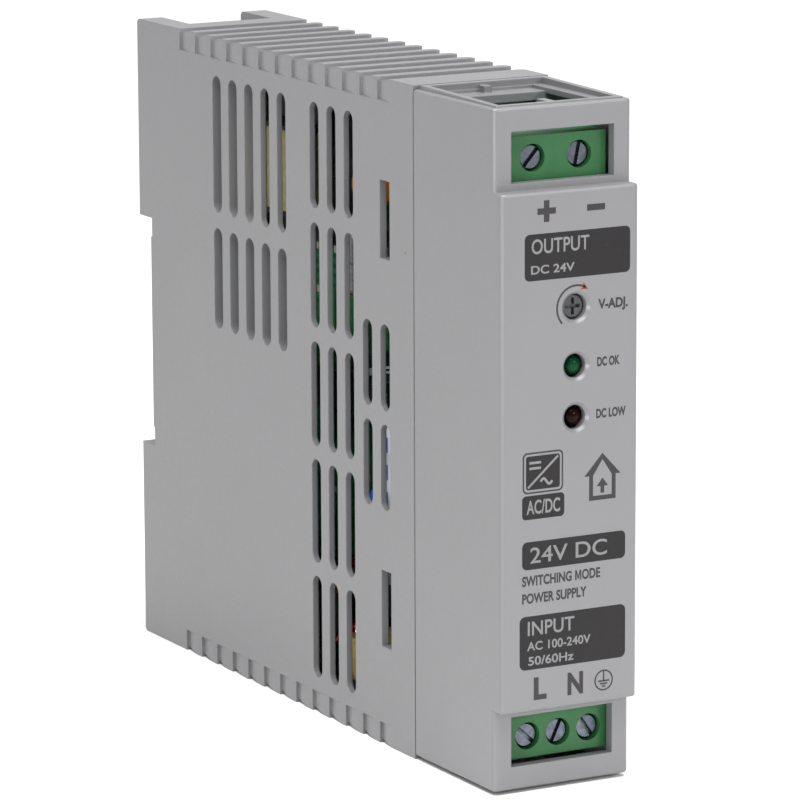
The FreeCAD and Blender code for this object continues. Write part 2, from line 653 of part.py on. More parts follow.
def make_terminal_block(row, poles, pitch, centre):
    """Green moulding with a screw well, a cell and a wire entry for each pole."""
    body = body_named(f"{row}_terminal_block")
    half = f"({len(poles)} * {pitch} / 2 + block_skin)"
    mouth = "screw_inset"
    add(body, "z", "0", "block_depth",
        rectangle(f"-{half}", f"{mouth} - block_length", half, mouth))
    offsets = [f"({2 * n - len(poles) + 1} * {pitch} / 2)" for n in range(len(poles))]
    cut(body, "z", "web_top", "block_depth + 1", *[circle(x, "0", "well_radius") for x in offsets])
    cut(body, "z", "cell_top - 0.1", "web_top + 0.1",
        *[circle(x, "0", "shank_radius + 0.2") for x in offsets])
    cell_half, cell_reach = "cell_width / 2", "cell_length / 2"
    cut(body, "z", "floor_thick", "cell_top",
        *[rectangle(f"{x} - {cell_half}", f"-{cell_reach}", f"{x} + {cell_half}", cell_reach)
          for x in offsets])
    # wire entries, and the channel behind each cell for the foot of its contact
    cut(body, "y", "0", f"{mouth} + 1",
        *[rectangle(f"{x} - entry_wide / 2", "entry_z", f"{x} + entry_wide / 2",
                    "entry_z + entry_tall") for x in offsets])
    cut(body, "z", "-1", "contact_z + contact_thick + 0.2",
        *[rectangle(f"{x} - contact_width / 2 - 0.1", "-contact_length + 1.5",
                    f"{x} + contact_width / 2 + 0.1", "-1") for x in offsets])
    first = poles[0]
    place(body, centre, "-front_board_y", first.level("screw_inset"), turn=first.turn())
    return body


def make_cage(pole):
    """Clamp frame that the screw lifts, with a threaded top plate."""
    body = body_named(f"{pole.row}_cage_{pole.name}")
    half = "cage_width / 2"
    add(body, "y", "-cage_length / 2", "cage_length / 2",
        rectangle(f"-{half}", "cage_floor", half, "cage_top"),
        rectangle(f"cage_side - {half}", "cage_floor + cage_plate", f"{half} - cage_side",
                  "cage_top - cage_plate"))
    cut(body, "z", "cage_top - cage_plate - 1", "cage_top + 1",
        circle("0", "0", "shank_radius + thread_play"))
    return pole.put(body)


def make_screw(pole):
    """Captive cheese-head clamping screw with a slot."""
    body = body_named(f"{pole.row}_screw_{pole.name}")
    add(body, "z", "shank_end", "web_top + head_play", circle("0", "0", "shank_radius"))
    add(body, "z", "web_top + head_play", "web_top + head_thick", circle("0", "0", "head_radius"))
    dress(body, "Chamfer", "0.25", lambda e: (
        isinstance(e.Curve, Part.Circle)
        and abs(e.CenterOfMass.z - value("web_top + head_thick")) < 0.01))
    cut(body, "z", "web_top + head_thick - slot_deep", "web_top + head_thick + 1",
        rectangle("-slot_wide / 2", "-head_radius - 1", "slot_wide / 2", "head_radius + 1"))
    return pole.put(body, pole.slot_angle)


def make_contact(pole):
    """Plate through the cage and the solder tail behind it."""
    body = doc.addObject("PartDesign::Body", f"{pole.row}_contact_{pole.name}")
    half = "contact_width / 2"
    heel = "2 - contact_length"
    add(body, "z", "contact_z", "contact_z + contact_thick",
        rectangle(f"0.2 - {half}", f"{heel} - 0.3", f"{half} - 0.2", "cage_length / 2 - 0.2"))
    add(body, "z", "-tail_reach", "contact_z + 0.1",
        rectangle("-tail_width / 2", f"{heel} - 0.3", "tail_width / 2", f"{heel} + 0.3"))
    return pole.put(body)


def make_terminals():
    for row, pitch, centre in (("output", "output_pitch", "0"), ("input", "input_pitch", "input_x")):
        poles = [pole for pole in TERMINALS if pole.row == row]
        make_terminal_block(row, poles, pitch, centre)
        kept_group(f"{row}_contacts", [make_contact(pole) for pole in poles])
        for pole in poles:
            make_cage(pole)
            make_screw(pole)


# ---------------------------------------------------------------- trimmer and indicators
def make_trimmer():
    """Voltage trimmer: a fixed body on the board and a long rotor up to the front."""
    body = body_named("trimmer_body")
    half = "trimmer_width / 2"
    add(body, "z", "0", "trimmer_depth", rectangle(f"-{half}", f"-{half}", half, half))
    cut(body, "z", "rotor_start - 0.1", "trimmer_depth + 1",
        circle("0", "0", "rotor_radius + rotor_play"))
    place(body, "control_x", "-front_board_y", "trim_z", turn=OUTWARD)

    rotor = body_named("trimmer_rotor")
    add(rotor, "z", "rotor_start", "rotor_end", circle("0", "0", "rotor_radius"))
    dress(rotor, "Chamfer", "0.2", lambda e: (
        isinstance(e.Curve, Part.Circle)
        and abs(e.CenterOfMass.z - value("rotor_end")) < 0.01))
    arm = "rotor_radius * 0.68"
    cut(rotor, "z", "rotor_end - 0.6", "rotor_end + 1",
        corners((f"-{arm}", "-0.25"), ("-0.25", "-0.25"), ("-0.25", f"-{arm}"), ("0.25", f"-{arm}"),
                ("0.25", "-0.25"), (arm, "-0.25"), (arm, "0.25"), ("0.25", "0.25"),
                ("0.25", arm), ("-0.25", arm), ("-0.25", "0.25"), (f"-{arm}", "0.25")))
    place(rotor, "control_x", "-front_board_y", "trim_z", turn=OUTWARD)


def make_indicator(label, level):
    """Domed lens with its flange and two legs."""
    outward = FreeCAD.Rotation(FreeCAD.Vector(1, 0, 0), 90)
    barrel = solid("Cylinder", f"{label}_barrel", Radius="led_radius",
                   Height="led_dome - led_seat")
    place(barrel, "control_x", "-front_board_y - led_seat", level, turn=outward)
    dome = solid("Sphere", f"{label}_dome", Radius="led_radius")
    place(dome, "control_x", "-front_board_y - led_dome", level)
    flange = solid("Cylinder", f"{label}_flange", Radius="led_flange", Height="1")
    place(flange, "control_x", "-front_board_y - led_seat", level, turn=outward)
    legs = []
    for side in (-1, 1):
        legs.append(rod(f"{label}_leg_{'left' if side < 0 else 'right'}", "y",
                        (f"control_x + {side} * leg_spacing / 2",
                         "-front_board_y - led_seat - 0.2", level),
                        "led_seat + board_thick + 1", "leg_radius"))
    return keep(joined(label, barrel, dome, flange, *legs), label)


def make_indicator_spacers():
    """Tubes that hold the indicators at the front."""
    tubes = []
    for label, level in (("ok", "led_ok_z"), ("low", "led_low_z")):
        start = ("control_x", "-front_board_y - led_seat", level)
        tube = rod(f"spacer_{label}", "y", start, "led_seat", "led_flange")
        bores = [rod(f"spacer_{label}_bore_{side + 2}", "y",
                     (f"control_x + {side} * leg_spacing / 2", "-front_board_y - led_seat - 1",
                      level), "led_seat + 2", "leg_radius + 0.05") for side in (-1, 1)]
        tubes.append(without(f"spacer_{label}_tube", tube, *bores))
    return kept_group("indicator_spacers", tubes)


# ---------------------------------------------------------------- parts on the main board
# The components stand on the board's left face, X = main_board_x, and point towards -X.
def standing_can(label, y, z, radius, length):
    """Electrolytic capacitor that stands on the board, with a rolled bead above its seal."""
    can = rod(f"{label}_can", "x", (f"main_board_x - {length}", y, z), length, radius)
    bead = solid("Torus", f"{label}_bead", Radius1=f"{radius} + 0.25", Radius2="0.55")
    place(bead, "main_board_x - 2", y, z, turn=TURNS["x"])
    whole = without(f"{label}_grooved", can, bead)
    top = softened(label, whole, "0.5", lambda e: abs(
        e.CenterOfMass.x - value(f"main_board_x - {length}")) < 0.01)
    return keep(top, label)


def disc_on_legs(label, y, z, radius, thick):
    """Disc component on edge with two short legs."""
    middle = f"main_board_x - 0.6 - {radius}"
    disc = rod(f"{label}_disc", "y", (middle, y, z), thick, radius)
    rounded = softened(f"{label}_dipped", disc, "0.9")
    legs = [rod(f"{label}_leg_{side + 2}", "x",
                (f"main_board_x - 0.6 - {radius} * 0.5", f"{y} + {thick} / 2",
                 f"({z}) + {side} * 2.5"), f"0.6 + {radius} * 0.5", "leg_round")
            for side in (-1, 1)]
    return keep(joined(label, rounded, *legs), label)


def block_part(label, low, high, radius="0.5"):
    """Moulded block with rounded edges."""
    return keep(softened(label, box(f"{label}_block", low, high), radius), label)


def make_transistor_package(label, y, z):
    """Flat power package with three leads and a screw hole, its back against Y = y."""
    width, height = "package_width / 2", "package_height"
    top = f"main_board_x - 2.5 - {height}"
    case = box(f"{label}_case", (top, f"{y} - package_thick", f"({z}) - {width}"),
               ("main_board_x - 2.5", y, f"({z}) + {width}"))
    leads = [box(f"{label}_lead_{n + 2}",
                 ("main_board_x - 2.6", f"{y} - 1.8", f"({z}) + {n} * leg_spacing - 0.4"),
                 ("main_board_x", f"{y} - 1.3", f"({z}) + {n} * leg_spacing + 0.4"))
             for n in (-1, 0, 1)]
    hole = rod(f"{label}_hole", "y", (f"{top} + 3", f"{y} - package_thick - 1", z),
               "package_thick + 2", "1.6")
    return keep(without(label, joined(f"{label}_body", case, *leads), hole), label)


def make_heatsink():
    """Aluminium plate with a foot, and the screw that holds the transistor on it."""
    plate_y, level = "-14", "-20"
    body = body_named("heatsink")
    add(body, "y", plate_y, f"{plate_y} + sink_thick",
        rectangle("-8.2", "-33", "main_board_x", "-7"))
    add(body, "x", "main_board_x - sink_thick", "main_board_x",
        rectangle(f"{plate_y} + sink_thick - 0.1", "-33", f"{plate_y} + sink_thick + 1.6", "-7"))
    hole_x = "main_board_x - 2.5 - package_height + 3"
    cut(body, "y", f"{plate_y} - 1", f"{plate_y} + sink_thick + 1", circle(hole_x, level, "1.6"))
    make_transistor_package("power_transistor", plate_y, level)
    head = rod("transistor_screw_head", "y", (hole_x, f"{plate_y} - package_thick - 1.8", level),
               "1.8", "2.7")
    shank = rod("transistor_screw_shank", "y",
                (hole_x, f"{plate_y} - package_thick - 0.1", level),
                "package_thick + sink_thick + 1", "1.5")
    domed = softened("transistor_screw_dome", head, "0.8", lambda e: (
        e.CenterOfMass.y < value(f"{plate_y} - package_thick - 1.7")))
    slot_cut = box("transistor_screw_slot",
                   (f"{hole_x} - 3", f"{plate_y} - package_thick - 2", f"{level} - 0.4"),
                   (f"{hole_x} + 3", f"{plate_y} - package_thick - 1", f"{level} + 0.4"))
    screw = without("transistor_screw", joined("transistor_screw_whole", domed, shank), slot_cut)
    keep(screw, "transistor_screw")


def make_transformer():
    """E-core halves around a bobbin with taped windings, the winding axis upright."""
    x, y, z = "transformer_x", "transformer_y", "transformer_z"
    half_w, half_h, leg = "core_width / 2", "core_height / 2", "core_leg / 2"
    for label, side in (("transformer_core_upper", 1), ("transformer_core_lower", -1)):
        core = body_named(label)
        shoulder = f"({half_w} - core_bar)"

        def up(text):
            return f"{z} + {side} * ({text})"

        add(core, "x", f"{x} - core_thick / 2", f"{x} + core_thick / 2", corners(
            (f"{y} - {half_w}", up("0.05")), (f"{y} - {shoulder}", up("0.05")),
            (f"{y} - {shoulder}", up(f"{half_h} - core_bar")), (f"{y} - {leg}", up(f"{half_h} - core_bar")),
            (f"{y} - {leg}", up("0.2")), (f"{y} + {leg}", up("0.2")),
            (f"{y} + {leg}", up(f"{half_h} - core_bar")), (f"{y} + {shoulder}", up(f"{half_h} - core_bar")),
            (f"{y} + {shoulder}", up("0.05")), (f"{y} + {half_w}", up("0.05")),
            (f"{y} + {half_w}", up(half_h)), (f"{y} - {half_w}", up(half_h))))

    bobbin = body_named("transformer_bobbin")
    tube_x = "(core_thick / 2 + 0.1 + bobbin_wall)"
    tube_y = f"({leg} + 0.1 + bobbin_wall)"
    bore = rectangle(f"{x} - {tube_x} + bobbin_wall", f"{y} - {tube_y} + bobbin_wall",
                     f"{x} + {tube_x} - bobbin_wall", f"{y} + {tube_y} - bobbin_wall")
    flange_y = f"({half_w} - core_bar - 0.15)"
    add(bobbin, "z", f"{z} - bobbin_half", f"{z} + bobbin_half",
        rectangle(f"{x} - {tube_x}", f"{y} - {tube_y}", f"{x} + {tube_x}", f"{y} + {tube_y}"), bore)
    for low, high in (("-bobbin_half", "bobbin_wall - bobbin_half"),
                      ("bobbin_half - bobbin_wall", "bobbin_half")):
        add(bobbin, "z", f"{z} + {low}", f"{z} + {high}",
            rectangle(f"{x} - {tube_x} - 3", f"{y} - {flange_y}", "main_board_x",
                      f"{y} + {flange_y}"), bore)

    winding = body_named("transformer_winding")
    out_x = f"({tube_x} + tape_thick - 0.2)"
    out_y = f"({flange_y} - 0.1)"
    add(winding, "z", f"{z} - bobbin_half + bobbin_wall + 0.05",
        f"{z} + bobbin_half - bobbin_wall - 0.05",
        rectangle(f"{x} - {out_x}", f"{y} - {out_y}", f"{x} + {out_x}", f"{y} + {out_y}"),
        rectangle(f"{x} - {tube_x} - 0.05", f"{y} - {tube_y} - 0.05", f"{x} + {tube_x} + 0.05",
                  f"{y} + {tube_y} + 0.05"))
    dress(winding, "Fillet", "1.2", lambda e: runs_along(e, "z") and (
        abs(e.CenterOfMass.x - value(x)) > value(out_x) - 0.01))


def make_choke():
    """Toroidal mains filter choke on edge, with a winding on each half."""
    x, y, z = "main_board_x - choke_radius - choke_wire", "-50", "-36"
    ring = without("emi_choke_core",
                   rod("choke_ring", "y", (x, y, z), "choke_thick", "choke_radius"),
                   rod("choke_hole", "y", (x, f"{y} - 1", z), "choke_thick + 2", "choke_bore"))
    keep(ring, "emi_choke_core")
    halves = []
    for name, first in (("upper", 30), ("lower", 210)):
        shell = rod(f"choke_{name}_shell", "y", (x, f"{y} - choke_wire", z),
                    "choke_thick + 2 * choke_wire", "choke_radius + choke_wire")
        bore = rod(f"choke_{name}_bore", "y", (x, f"{y} - choke_wire - 1", z),
                   "choke_thick + 2 * choke_wire + 2", "choke_bore - choke_wire")
        room = without(f"choke_{name}_room",
                       rod(f"choke_{name}_core", "y", (x, f"{y} - 0.02", z), "choke_thick + 0.04",
                           "choke_radius + 0.02"),
                       rod(f"choke_{name}_hole", "y", (x, f"{y} - 1", z), "choke_thick + 2",
                           "choke_bore - 0.02"))
        wedge = solid("Cylinder", f"choke_{name}_wedge", Radius="choke_radius + 5",
                      Height="choke_thick + 6")
        wedge.Angle = 120
        turn = FreeCAD.Rotation(FreeCAD.Vector(1, 0, 0), 90).multiply(
            FreeCAD.Rotation(FreeCAD.Vector(0, 0, 1), first))
        place(wedge, x, f"{y} + choke_thick + 3", z, turn=turn)
        coil = without(f"choke_{name}_coil", shell, bore, room)
        part = doc.addObject("Part::Common", f"choke_{name}_winding")
        part.Base = coil
        part.Tool = wedge
        halves.append(part)
    kept_group("emi_choke_windings", halves)


def make_bulk_capacitor():
    """Mains reservoir capacitor lying along the board."""
    can = rod("bulk_can", "z", ("main_board_x - bulk_radius - 0.2", "-70", "-27.5"),
              "bulk_length", "bulk_radius")
    bead = solid("Torus", "bulk_bead", Radius1="bulk_radius + 0.35", Radius2="0.7")
    place(bead, "main_board_x - bulk_radius - 0.2", "-70", "-25")
    whole = without("bulk_grooved", can, bead)
    top = value("bulk_length - 27.5")
    keep(softened("bulk_capacitor", whole, "0.6",
                  lambda e: abs(e.CenterOfMass.z - top) < 0.01), "bulk_capacitor")


def make_resistors():
    """Axial resistors lying on the board, each with its bent leads."""
    places = ((-22, 2, "z"), (-22, 16, "z"), (-60, -8, "z"), (-52, 10, "y"), (-84, 8, "z"),
              (-80, -8, "z"))
    parts = []
    for number, (y, z, axis) in enumerate(places, start=1):
        ahead = (0, 0, 1) if axis == "z" else (0, 1, 0)
        start = ["main_board_x - 1.9", str(y), str(z)]
        core = rod(f"resistor_{number}_body", axis, tuple(start), "6.4", "1.15")
        bead = softened(f"resistor_{number}_bead", core, "0.5")
        feet = []
        for foot in (-1.6, 8.0):
            spot = ("main_board_x - 2.35", f"{y} + {ahead[1] * foot}", f"{z} + {ahead[2] * foot}")
            feet.append(rod(f"resistor_{number}_foot_{len(feet) + 1}", "x", spot, "2.35", "0.4"))
        wire_start = ("main_board_x - 1.9", f"{y} - {ahead[1] * 1.6}", f"{z} - {ahead[2] * 1.6}")
        wire = rod(f"resistor_{number}_wire", axis, wire_start, "9.6", "0.3")
        parts.append(joined(f"resistor_{number}", bead, wire, *feet))
    kept_group("resistors", parts)


def make_small_parts():
    disc_on_legs("inrush_thermistor", "-81", "-40", "disc_radius", "disc_thick")
    disc_on_legs("surge_varistor", "-74", "-40", "disc_radius", "disc_thick")
    disc_on_legs("y_capacitor", "-57", "-20", "4", "3.4")
    disc_on_legs("snubber_capacitor", "-53", "30", "3.7", "3")
    block_part("input_fuse", ("main_board_x - 8", "-91", "-44.2"),
               ("main_board_x", "-83", "-36.2"), "1")
    block_part("x_capacitor", ("main_board_x - 12", "-67", "-45.4"),
               ("main_board_x", "-54", "-38.6"), "0.4")
    block_part("bridge_rectifier", ("main_board_x - 11.5", "-38", "-45"),
               ("main_board_x", "-34.4", "-30.5"), "0.4")
    block_part("optocoupler", ("main_board_x - 3.4", "-50", "-8"),
               ("main_board_x", "-45.4", "-1.5"), "0.3")
    block_part("control_ic", ("main_board_x - 3.4", "-38", "-8"),
               ("main_board_x", "-28.6", "-1.6"), "0.3")
    standing_can("output_capacitor_a", "-62.5", "20", "smooth_radius", "smooth_length")
    standing_can("output_capacitor_b", "-74", "20", "smooth_radius", "smooth_length")
    standing_can("supply_capacitor", "-58", "3", "2.5", "11")
    standing_can("output_inductor", "-72", "36", "4.6", "10")
    make_transistor_package("output_rectifier", "-56", "39.5")


# ---------------------------------------------------------------- build, check and export
housing = make_rear_housing()
open_rear_housing(housing)
cover = make_front_cover()
open_controls(cover)
make_latch()
make_latch_spring()
make_front_board()
make_main_board()
make_board_link()
make_terminals()
make_trimmer()
make_indicator("led_dc_ok", "led_ok_z")
make_indicator("led_dc_low", "led_low_z")
make_indicator_spacers()
make_transformer()
make_choke()
make_bulk_capacitor()
make_heatsink()
make_resistors()
make_small_parts()
doc.recompute()


def check_document():
    """Stop on a failed object, an empty or broken shape, or a feature that changes nothing."""
    for thing in doc.Objects:
        if "Invalid" in thing.State or "Error" in thing.State:
            raise RuntimeError(f"{thing.Name} failed: {thing.State}")
    for piece in pieces:
        if piece.Shape.isNull() or not piece.Shape.isValid() or not piece.Shape.Solids:
            raise RuntimeError(f"{piece.Label} has no valid shape")
    for body in doc.findObjects("PartDesign::Body"):
        volume = 0.0
        for feature in body.Group:
            if feature.isDerivedFrom("PartDesign::Feature"):
                change = feature.Shape.Volume - volume
                growing = feature.isDerivedFrom("PartDesign::Pad")
                cutting = feature.isDerivedFrom("PartDesign::Pocket")
                if (growing and change <= 0) or (cutting and change >= 0):
                    raise RuntimeError(f"{body.Label}: {feature.Name} changes nothing")
                volume = feature.Shape.Volume


check_document()
os.makedirs("parts", exist_ok=True)
for piece in pieces:
    piece.Shape.exportStep(f"parts/{piece.Label}.step")
    solids = len(piece.Shape.Solids)
    print(f"{piece.Label}: {solids} solid{'s' if solids > 1 else ''}, {piece.Shape.Volume:.1f} mm3")
print(len(pieces), "pieces")
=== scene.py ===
"""Looks of the DIN rail power supply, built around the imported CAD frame.

Same frame as the CAD, in metres: the rail plane is Y = 0, the label face looks along -Y, +Z up.
Sizes below are written in millimetres and scaled by MM.
"""

import json
import math
import random

import bmesh
import bpy
from mathutils import Matrix, Quaternion, Vector


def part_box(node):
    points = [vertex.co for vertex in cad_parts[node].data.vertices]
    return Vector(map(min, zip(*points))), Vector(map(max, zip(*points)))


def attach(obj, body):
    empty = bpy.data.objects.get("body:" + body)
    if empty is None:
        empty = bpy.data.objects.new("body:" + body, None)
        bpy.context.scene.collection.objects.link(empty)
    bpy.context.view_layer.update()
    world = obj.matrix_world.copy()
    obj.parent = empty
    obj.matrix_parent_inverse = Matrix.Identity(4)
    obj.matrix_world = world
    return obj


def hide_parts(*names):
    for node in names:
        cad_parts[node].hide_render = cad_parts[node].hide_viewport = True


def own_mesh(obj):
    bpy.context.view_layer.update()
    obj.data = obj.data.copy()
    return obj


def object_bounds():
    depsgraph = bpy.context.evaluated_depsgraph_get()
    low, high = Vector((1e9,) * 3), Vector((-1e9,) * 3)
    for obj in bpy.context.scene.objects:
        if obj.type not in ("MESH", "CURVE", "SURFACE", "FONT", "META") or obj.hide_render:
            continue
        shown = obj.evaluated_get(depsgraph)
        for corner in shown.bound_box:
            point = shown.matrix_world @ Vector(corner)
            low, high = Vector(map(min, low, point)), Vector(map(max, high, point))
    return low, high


MM = 0.001
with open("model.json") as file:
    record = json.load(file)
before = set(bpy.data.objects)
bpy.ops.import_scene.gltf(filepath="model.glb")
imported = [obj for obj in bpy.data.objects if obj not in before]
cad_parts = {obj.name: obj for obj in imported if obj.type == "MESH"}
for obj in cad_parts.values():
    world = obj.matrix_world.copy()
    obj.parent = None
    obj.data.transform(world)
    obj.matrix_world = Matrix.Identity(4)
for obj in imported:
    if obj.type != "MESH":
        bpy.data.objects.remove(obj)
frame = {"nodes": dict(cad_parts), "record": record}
cad_low, cad_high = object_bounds()
NODES = frame["nodes"]


# ---------------------------------------------------------------- colours and node trees
def linear(code):
    """Linear colour from an sRGB hex code."""
    parts = [int(code[n:n + 2], 16) / 255 for n in (1, 3, 5)]
    return [p / 12.92 if p <= 0.04045 else ((p + 0.055) / 1.055) ** 2.4 for p in parts] + [1.0]


def scaled(colour, factor):
    return [min(1.0, c * factor) for c in colour[:3]] + [1.0]


class Shade:
    """A material's node tree, with short ways to add to it."""

    def __init__(self, name, rough=0.5, **sockets):
        self.material = bpy.data.materials.new(name)
        self.material.use_nodes = True
        self.tree = self.material.node_tree
        self.tree.nodes.clear()
        self.shader = self.add("BsdfPrincipled")
        output = self.add("OutputMaterial")
        self.join(self.shader.outputs["BSDF"], output.inputs["Surface"])
        self.set("Roughness", rough)
        for socket, number in sockets.items():
            self.set(socket.replace("_", " "), number)
        coordinates = self.add("TexCoord")
        self.place = coordinates.outputs["Object"]
        self.inside = coordinates.outputs["Generated"]

    def add(self, kind, **settings):
        node = self.tree.nodes.new(f"ShaderNode{kind}")
        for key, setting in settings.items():
            setattr(node, key, setting)
        return node

    def join(self, source, target):
        self.tree.links.new(source, target)

    def set(self, socket, source):
        self.feed(self.shader.inputs[socket], source)

    def feed(self, target, source):
        if isinstance(source, bpy.types.NodeSocket):
            self.join(source, target)
        else:
            target.default_value = source

    def stretched(self, x, y, z):
        """Coordinates scaled apart on each axis."""
        node = self.add("Mapping")
        node.inputs["Scale"].default_value = (x, y, z)
        self.join(self.place, node.inputs["Vector"])
        return node.outputs["Vector"]

    def noise(self, scale, detail=3.0, place=None):
        node = self.add("TexNoise")
        self.join(place or self.place, node.inputs["Vector"])
        node.inputs["Scale"].default_value = scale
        node.inputs["Detail"].default_value = detail
        node.inputs["Roughness"].default_value = 0.55
        return node.outputs["Fac"]

    def cells(self, scale, output="Distance", **settings):
        node = self.add("TexVoronoi", **settings)
        self.join(self.place, node.inputs["Vector"])
        node.inputs["Scale"].default_value = scale
        return node.outputs[output]

    def sum(self, kind, first, second=0.0):
        node = self.add("Math", operation=kind)
        self.feed(node.inputs[0], first)
        self.feed(node.inputs[1], second)
        return node.outputs[0]

    def spread(self, source, low, high, new_low=0.0, new_high=1.0):
        """Source values from low to high, stretched to the new range and held there."""
        node = self.add("MapRange", clamp=True)
        for number, entry in enumerate((source, low, high, new_low, new_high)):
            self.feed(node.inputs[number], entry)
        return node.outputs[0]

    def mix(self, factor, first, second):
        node = self.add("Mix", data_type="RGBA")
        self.feed(node.inputs[0], factor)
        self.feed(node.inputs[6], first)
        self.feed(node.inputs[7], second)
        return node.outputs[2]

    def axis(self, number, place=None):
        node = self.add("SeparateXYZ")
        self.join(place or self.place, node.inputs[0])
        return node.outputs[number]

    def away(self, number, middle, place=None):
        """Distance along one axis from a value, both in metres."""
        return self.sum("ABSOLUTE", self.sum("SUBTRACT", self.axis(number, place), middle))

    def radius(self, axes, middle, place=None):
        """Distance from a line that runs along the third axis."""
        legs = [self.sum("SUBTRACT", self.axis(n, place), m) for n, m in zip(axes, middle)]
        squares = [self.sum("MULTIPLY", leg, leg) for leg in legs]
        return self.sum("SQRT", self.sum("ADD", *squares))

    def bump(self, height, distance, strength=1.0, under=None):
        node = self.add("Bump")
        node.inputs["Strength"].default_value = strength
        node.inputs["Distance"].default_value = distance
        self.join(height, node.inputs["Height"])
        if under:
            self.join(under, node.inputs["Normal"])
        return node.outputs["Normal"]

    def soft_edges(self, radius):
        node = self.add("Bevel", samples=4)
        node.inputs["Radius"].default_value = radius
        return node.outputs["Normal"]

    def finish(self, colour, normal=None):
        self.set("Base Color", colour)
        if normal:
            self.set("Normal", normal)
        return self.material


# ---------------------------------------------------------------- materials
def moulded(name, code, rough, mottle=0.03, grain=1.0):
    """Moulded plastic: faint mottling, a fine spark-eroded grain and soft corners."""
    shade = Shade(name)
    colour = linear(code)
    cloud = shade.spread(shade.noise(55, 4), 0.3, 0.7)
    body = shade.mix(cloud, scaled(colour, 1 - mottle), scaled(colour, 1 + mottle))
    fine = shade.noise(1900, 2)
    shade.set("Roughness", shade.spread(fine, 0.25, 0.75, rough - 0.06, rough + 0.06))
    normal = shade.bump(shade.noise(3200, 3), 0.00002 * grain, 0.5,
                        shade.soft_edges(0.15 * MM))
    return shade.finish(body, normal)


def case_plastic():
    """Light grey case: drifting tone, grain, a few dark specks and faint rub marks."""
    shade = Shade("case_plastic", Specular_IOR_Level=0.65)
    colour = linear("#68686a")
    drift = shade.spread(shade.noise(28, 5), 0.3, 0.7)
    tone = shade.mix(drift, scaled(colour, 0.972), scaled(colour, 1.028))
    flow = shade.spread(shade.noise(260, 4, shade.stretched(1, 1, 0.25)), 0.3, 0.75)
    tone = shade.mix(shade.sum("MULTIPLY", flow, 0.16), tone, scaled(colour, 0.9))
    # specks in a few of the cells, each of its own size
    gate = shade.cells(95, "Color")
    chosen = shade.spread(shade.axis(0, gate), 0.80, 0.81)
    size = shade.spread(shade.axis(1, gate), 0, 1, 0.006, 0.021)
    near = shade.sum("LESS_THAN", shade.cells(95), size)
    speck = shade.sum("MULTIPLY", chosen, near)
    dark = linear("#3d352c")
    tone = shade.mix(shade.sum("MULTIPLY", speck, 0.75), tone, dark)
    # long faint scratches where tools and the rail rubbed
    streak = shade.noise(420, 2, shade.stretched(1, 0.06, 1))
    rub = shade.sum("MULTIPLY", shade.spread(streak, 0.70, 0.74),
                    shade.spread(shade.noise(45, 2), 0.52, 0.62))
    tone = shade.mix(shade.sum("MULTIPLY", rub, 0.10), tone, scaled(colour, 1.25))
    fine = shade.noise(1500, 3)
    shade.set("Roughness", shade.spread(fine, 0.25, 0.75, 0.32, 0.42))
    grain = shade.bump(shade.noise(2600, 3), 0.00003, 0.55, shade.soft_edges(0.22 * MM))
    sink = shade.bump(shade.noise(70, 1), 0.0004, 0.12, grain)
    return shade.finish(tone, sink)


def terminal_green():
    """Glass-filled green moulding with fine flow lines."""
    shade = Shade("green_plastic", Specular_IOR_Level=0.28)
    colour = linear("#275932")
    cloud = shade.spread(shade.noise(240, 4), 0.3, 0.7)
    tone = shade.mix(cloud, scaled(colour, 0.9), scaled(colour, 1.1))
    flow = shade.spread(shade.noise(1400, 3, shade.stretched(1, 1, 0.2)), 0.55, 0.75)
    tone = shade.mix(shade.sum("MULTIPLY", flow, 0.25), tone, scaled(colour, 1.45))
    shade.set("Roughness", shade.spread(shade.noise(1800), 0.3, 0.7, 0.34, 0.48))
    normal = shade.bump(shade.noise(3000, 3), 0.00002, 0.6, shade.soft_edges(0.12 * MM))
    return shade.finish(tone, normal)


def plated(name, code, rough, wear):
    """Plated steel: fine turning rings about the part's own axis, dull patches and scratches."""
    shade = Shade(name, Metallic=1.0)
    colour = linear(code)
    patch = shade.spread(shade.noise(900, 4), 0.35, 0.7)
    tone = shade.mix(shade.sum("MULTIPLY", patch, wear), colour, scaled(colour, 0.45))
    scratch = shade.noise(2500, 2, shade.stretched(1, 1, 0.12))
    around = shade.radius((0, 2), (0.5, 0.5), shade.inside)
    rings = shade.sum("SINE", shade.sum("MULTIPLY", around, 190.0))
    height = shade.sum("ADD", shade.sum("MULTIPLY", rings, 0.5), scratch)
    shade.set("Roughness", shade.spread(patch, 0, 1, rough, rough + 0.2))
    normal = shade.bump(height, 0.00001, 0.5, shade.soft_edges(0.08 * MM))
    return shade.finish(tone, normal)


def drawn_metal(name, code, rough, stretch=(1, 1, 0.03), scale=1500):
    """Rolled or drawn metal with streaks along its length."""
    shade = Shade(name, Metallic=1.0)
    colour = linear(code)
    streaks = shade.noise(scale, 3, shade.stretched(*stretch))
    tone = shade.mix(shade.spread(streaks, 0.3, 0.7), scaled(colour, 0.78), colour)
    shade.set("Roughness", shade.spread(streaks, 0.3, 0.7, rough + 0.12, rough))
    return shade.finish(tone, shade.bump(streaks, 0.00001, 0.6))


def lens(name, core, rim):
    """Tinted epoxy lens; its middle is painted paler, a painted reflection of the chip's reflector
    seen through the epoxy.
    """
    shade = Shade(name, 0.06, Specular_IOR_Level=0.07)
    around = shade.radius((0, 2), (0.5, 0.5), shade.inside)
    # painted reflection: paler towards the middle, for light sent back by the chip's reflector
    painted_reflector_glow = shade.spread(around, 0.12, 0.40, 1.0, 0.0)
    tone = shade.mix(painted_reflector_glow, linear(rim), linear(core))
    streak = shade.spread(shade.noise(600, 2), 0.4, 0.7)
    tone = shade.mix(shade.sum("MULTIPLY", streak, 0.2), tone, linear(rim))
    return shade.finish(tone, shade.bump(shade.noise(500, 1), 0.00001, 0.3))


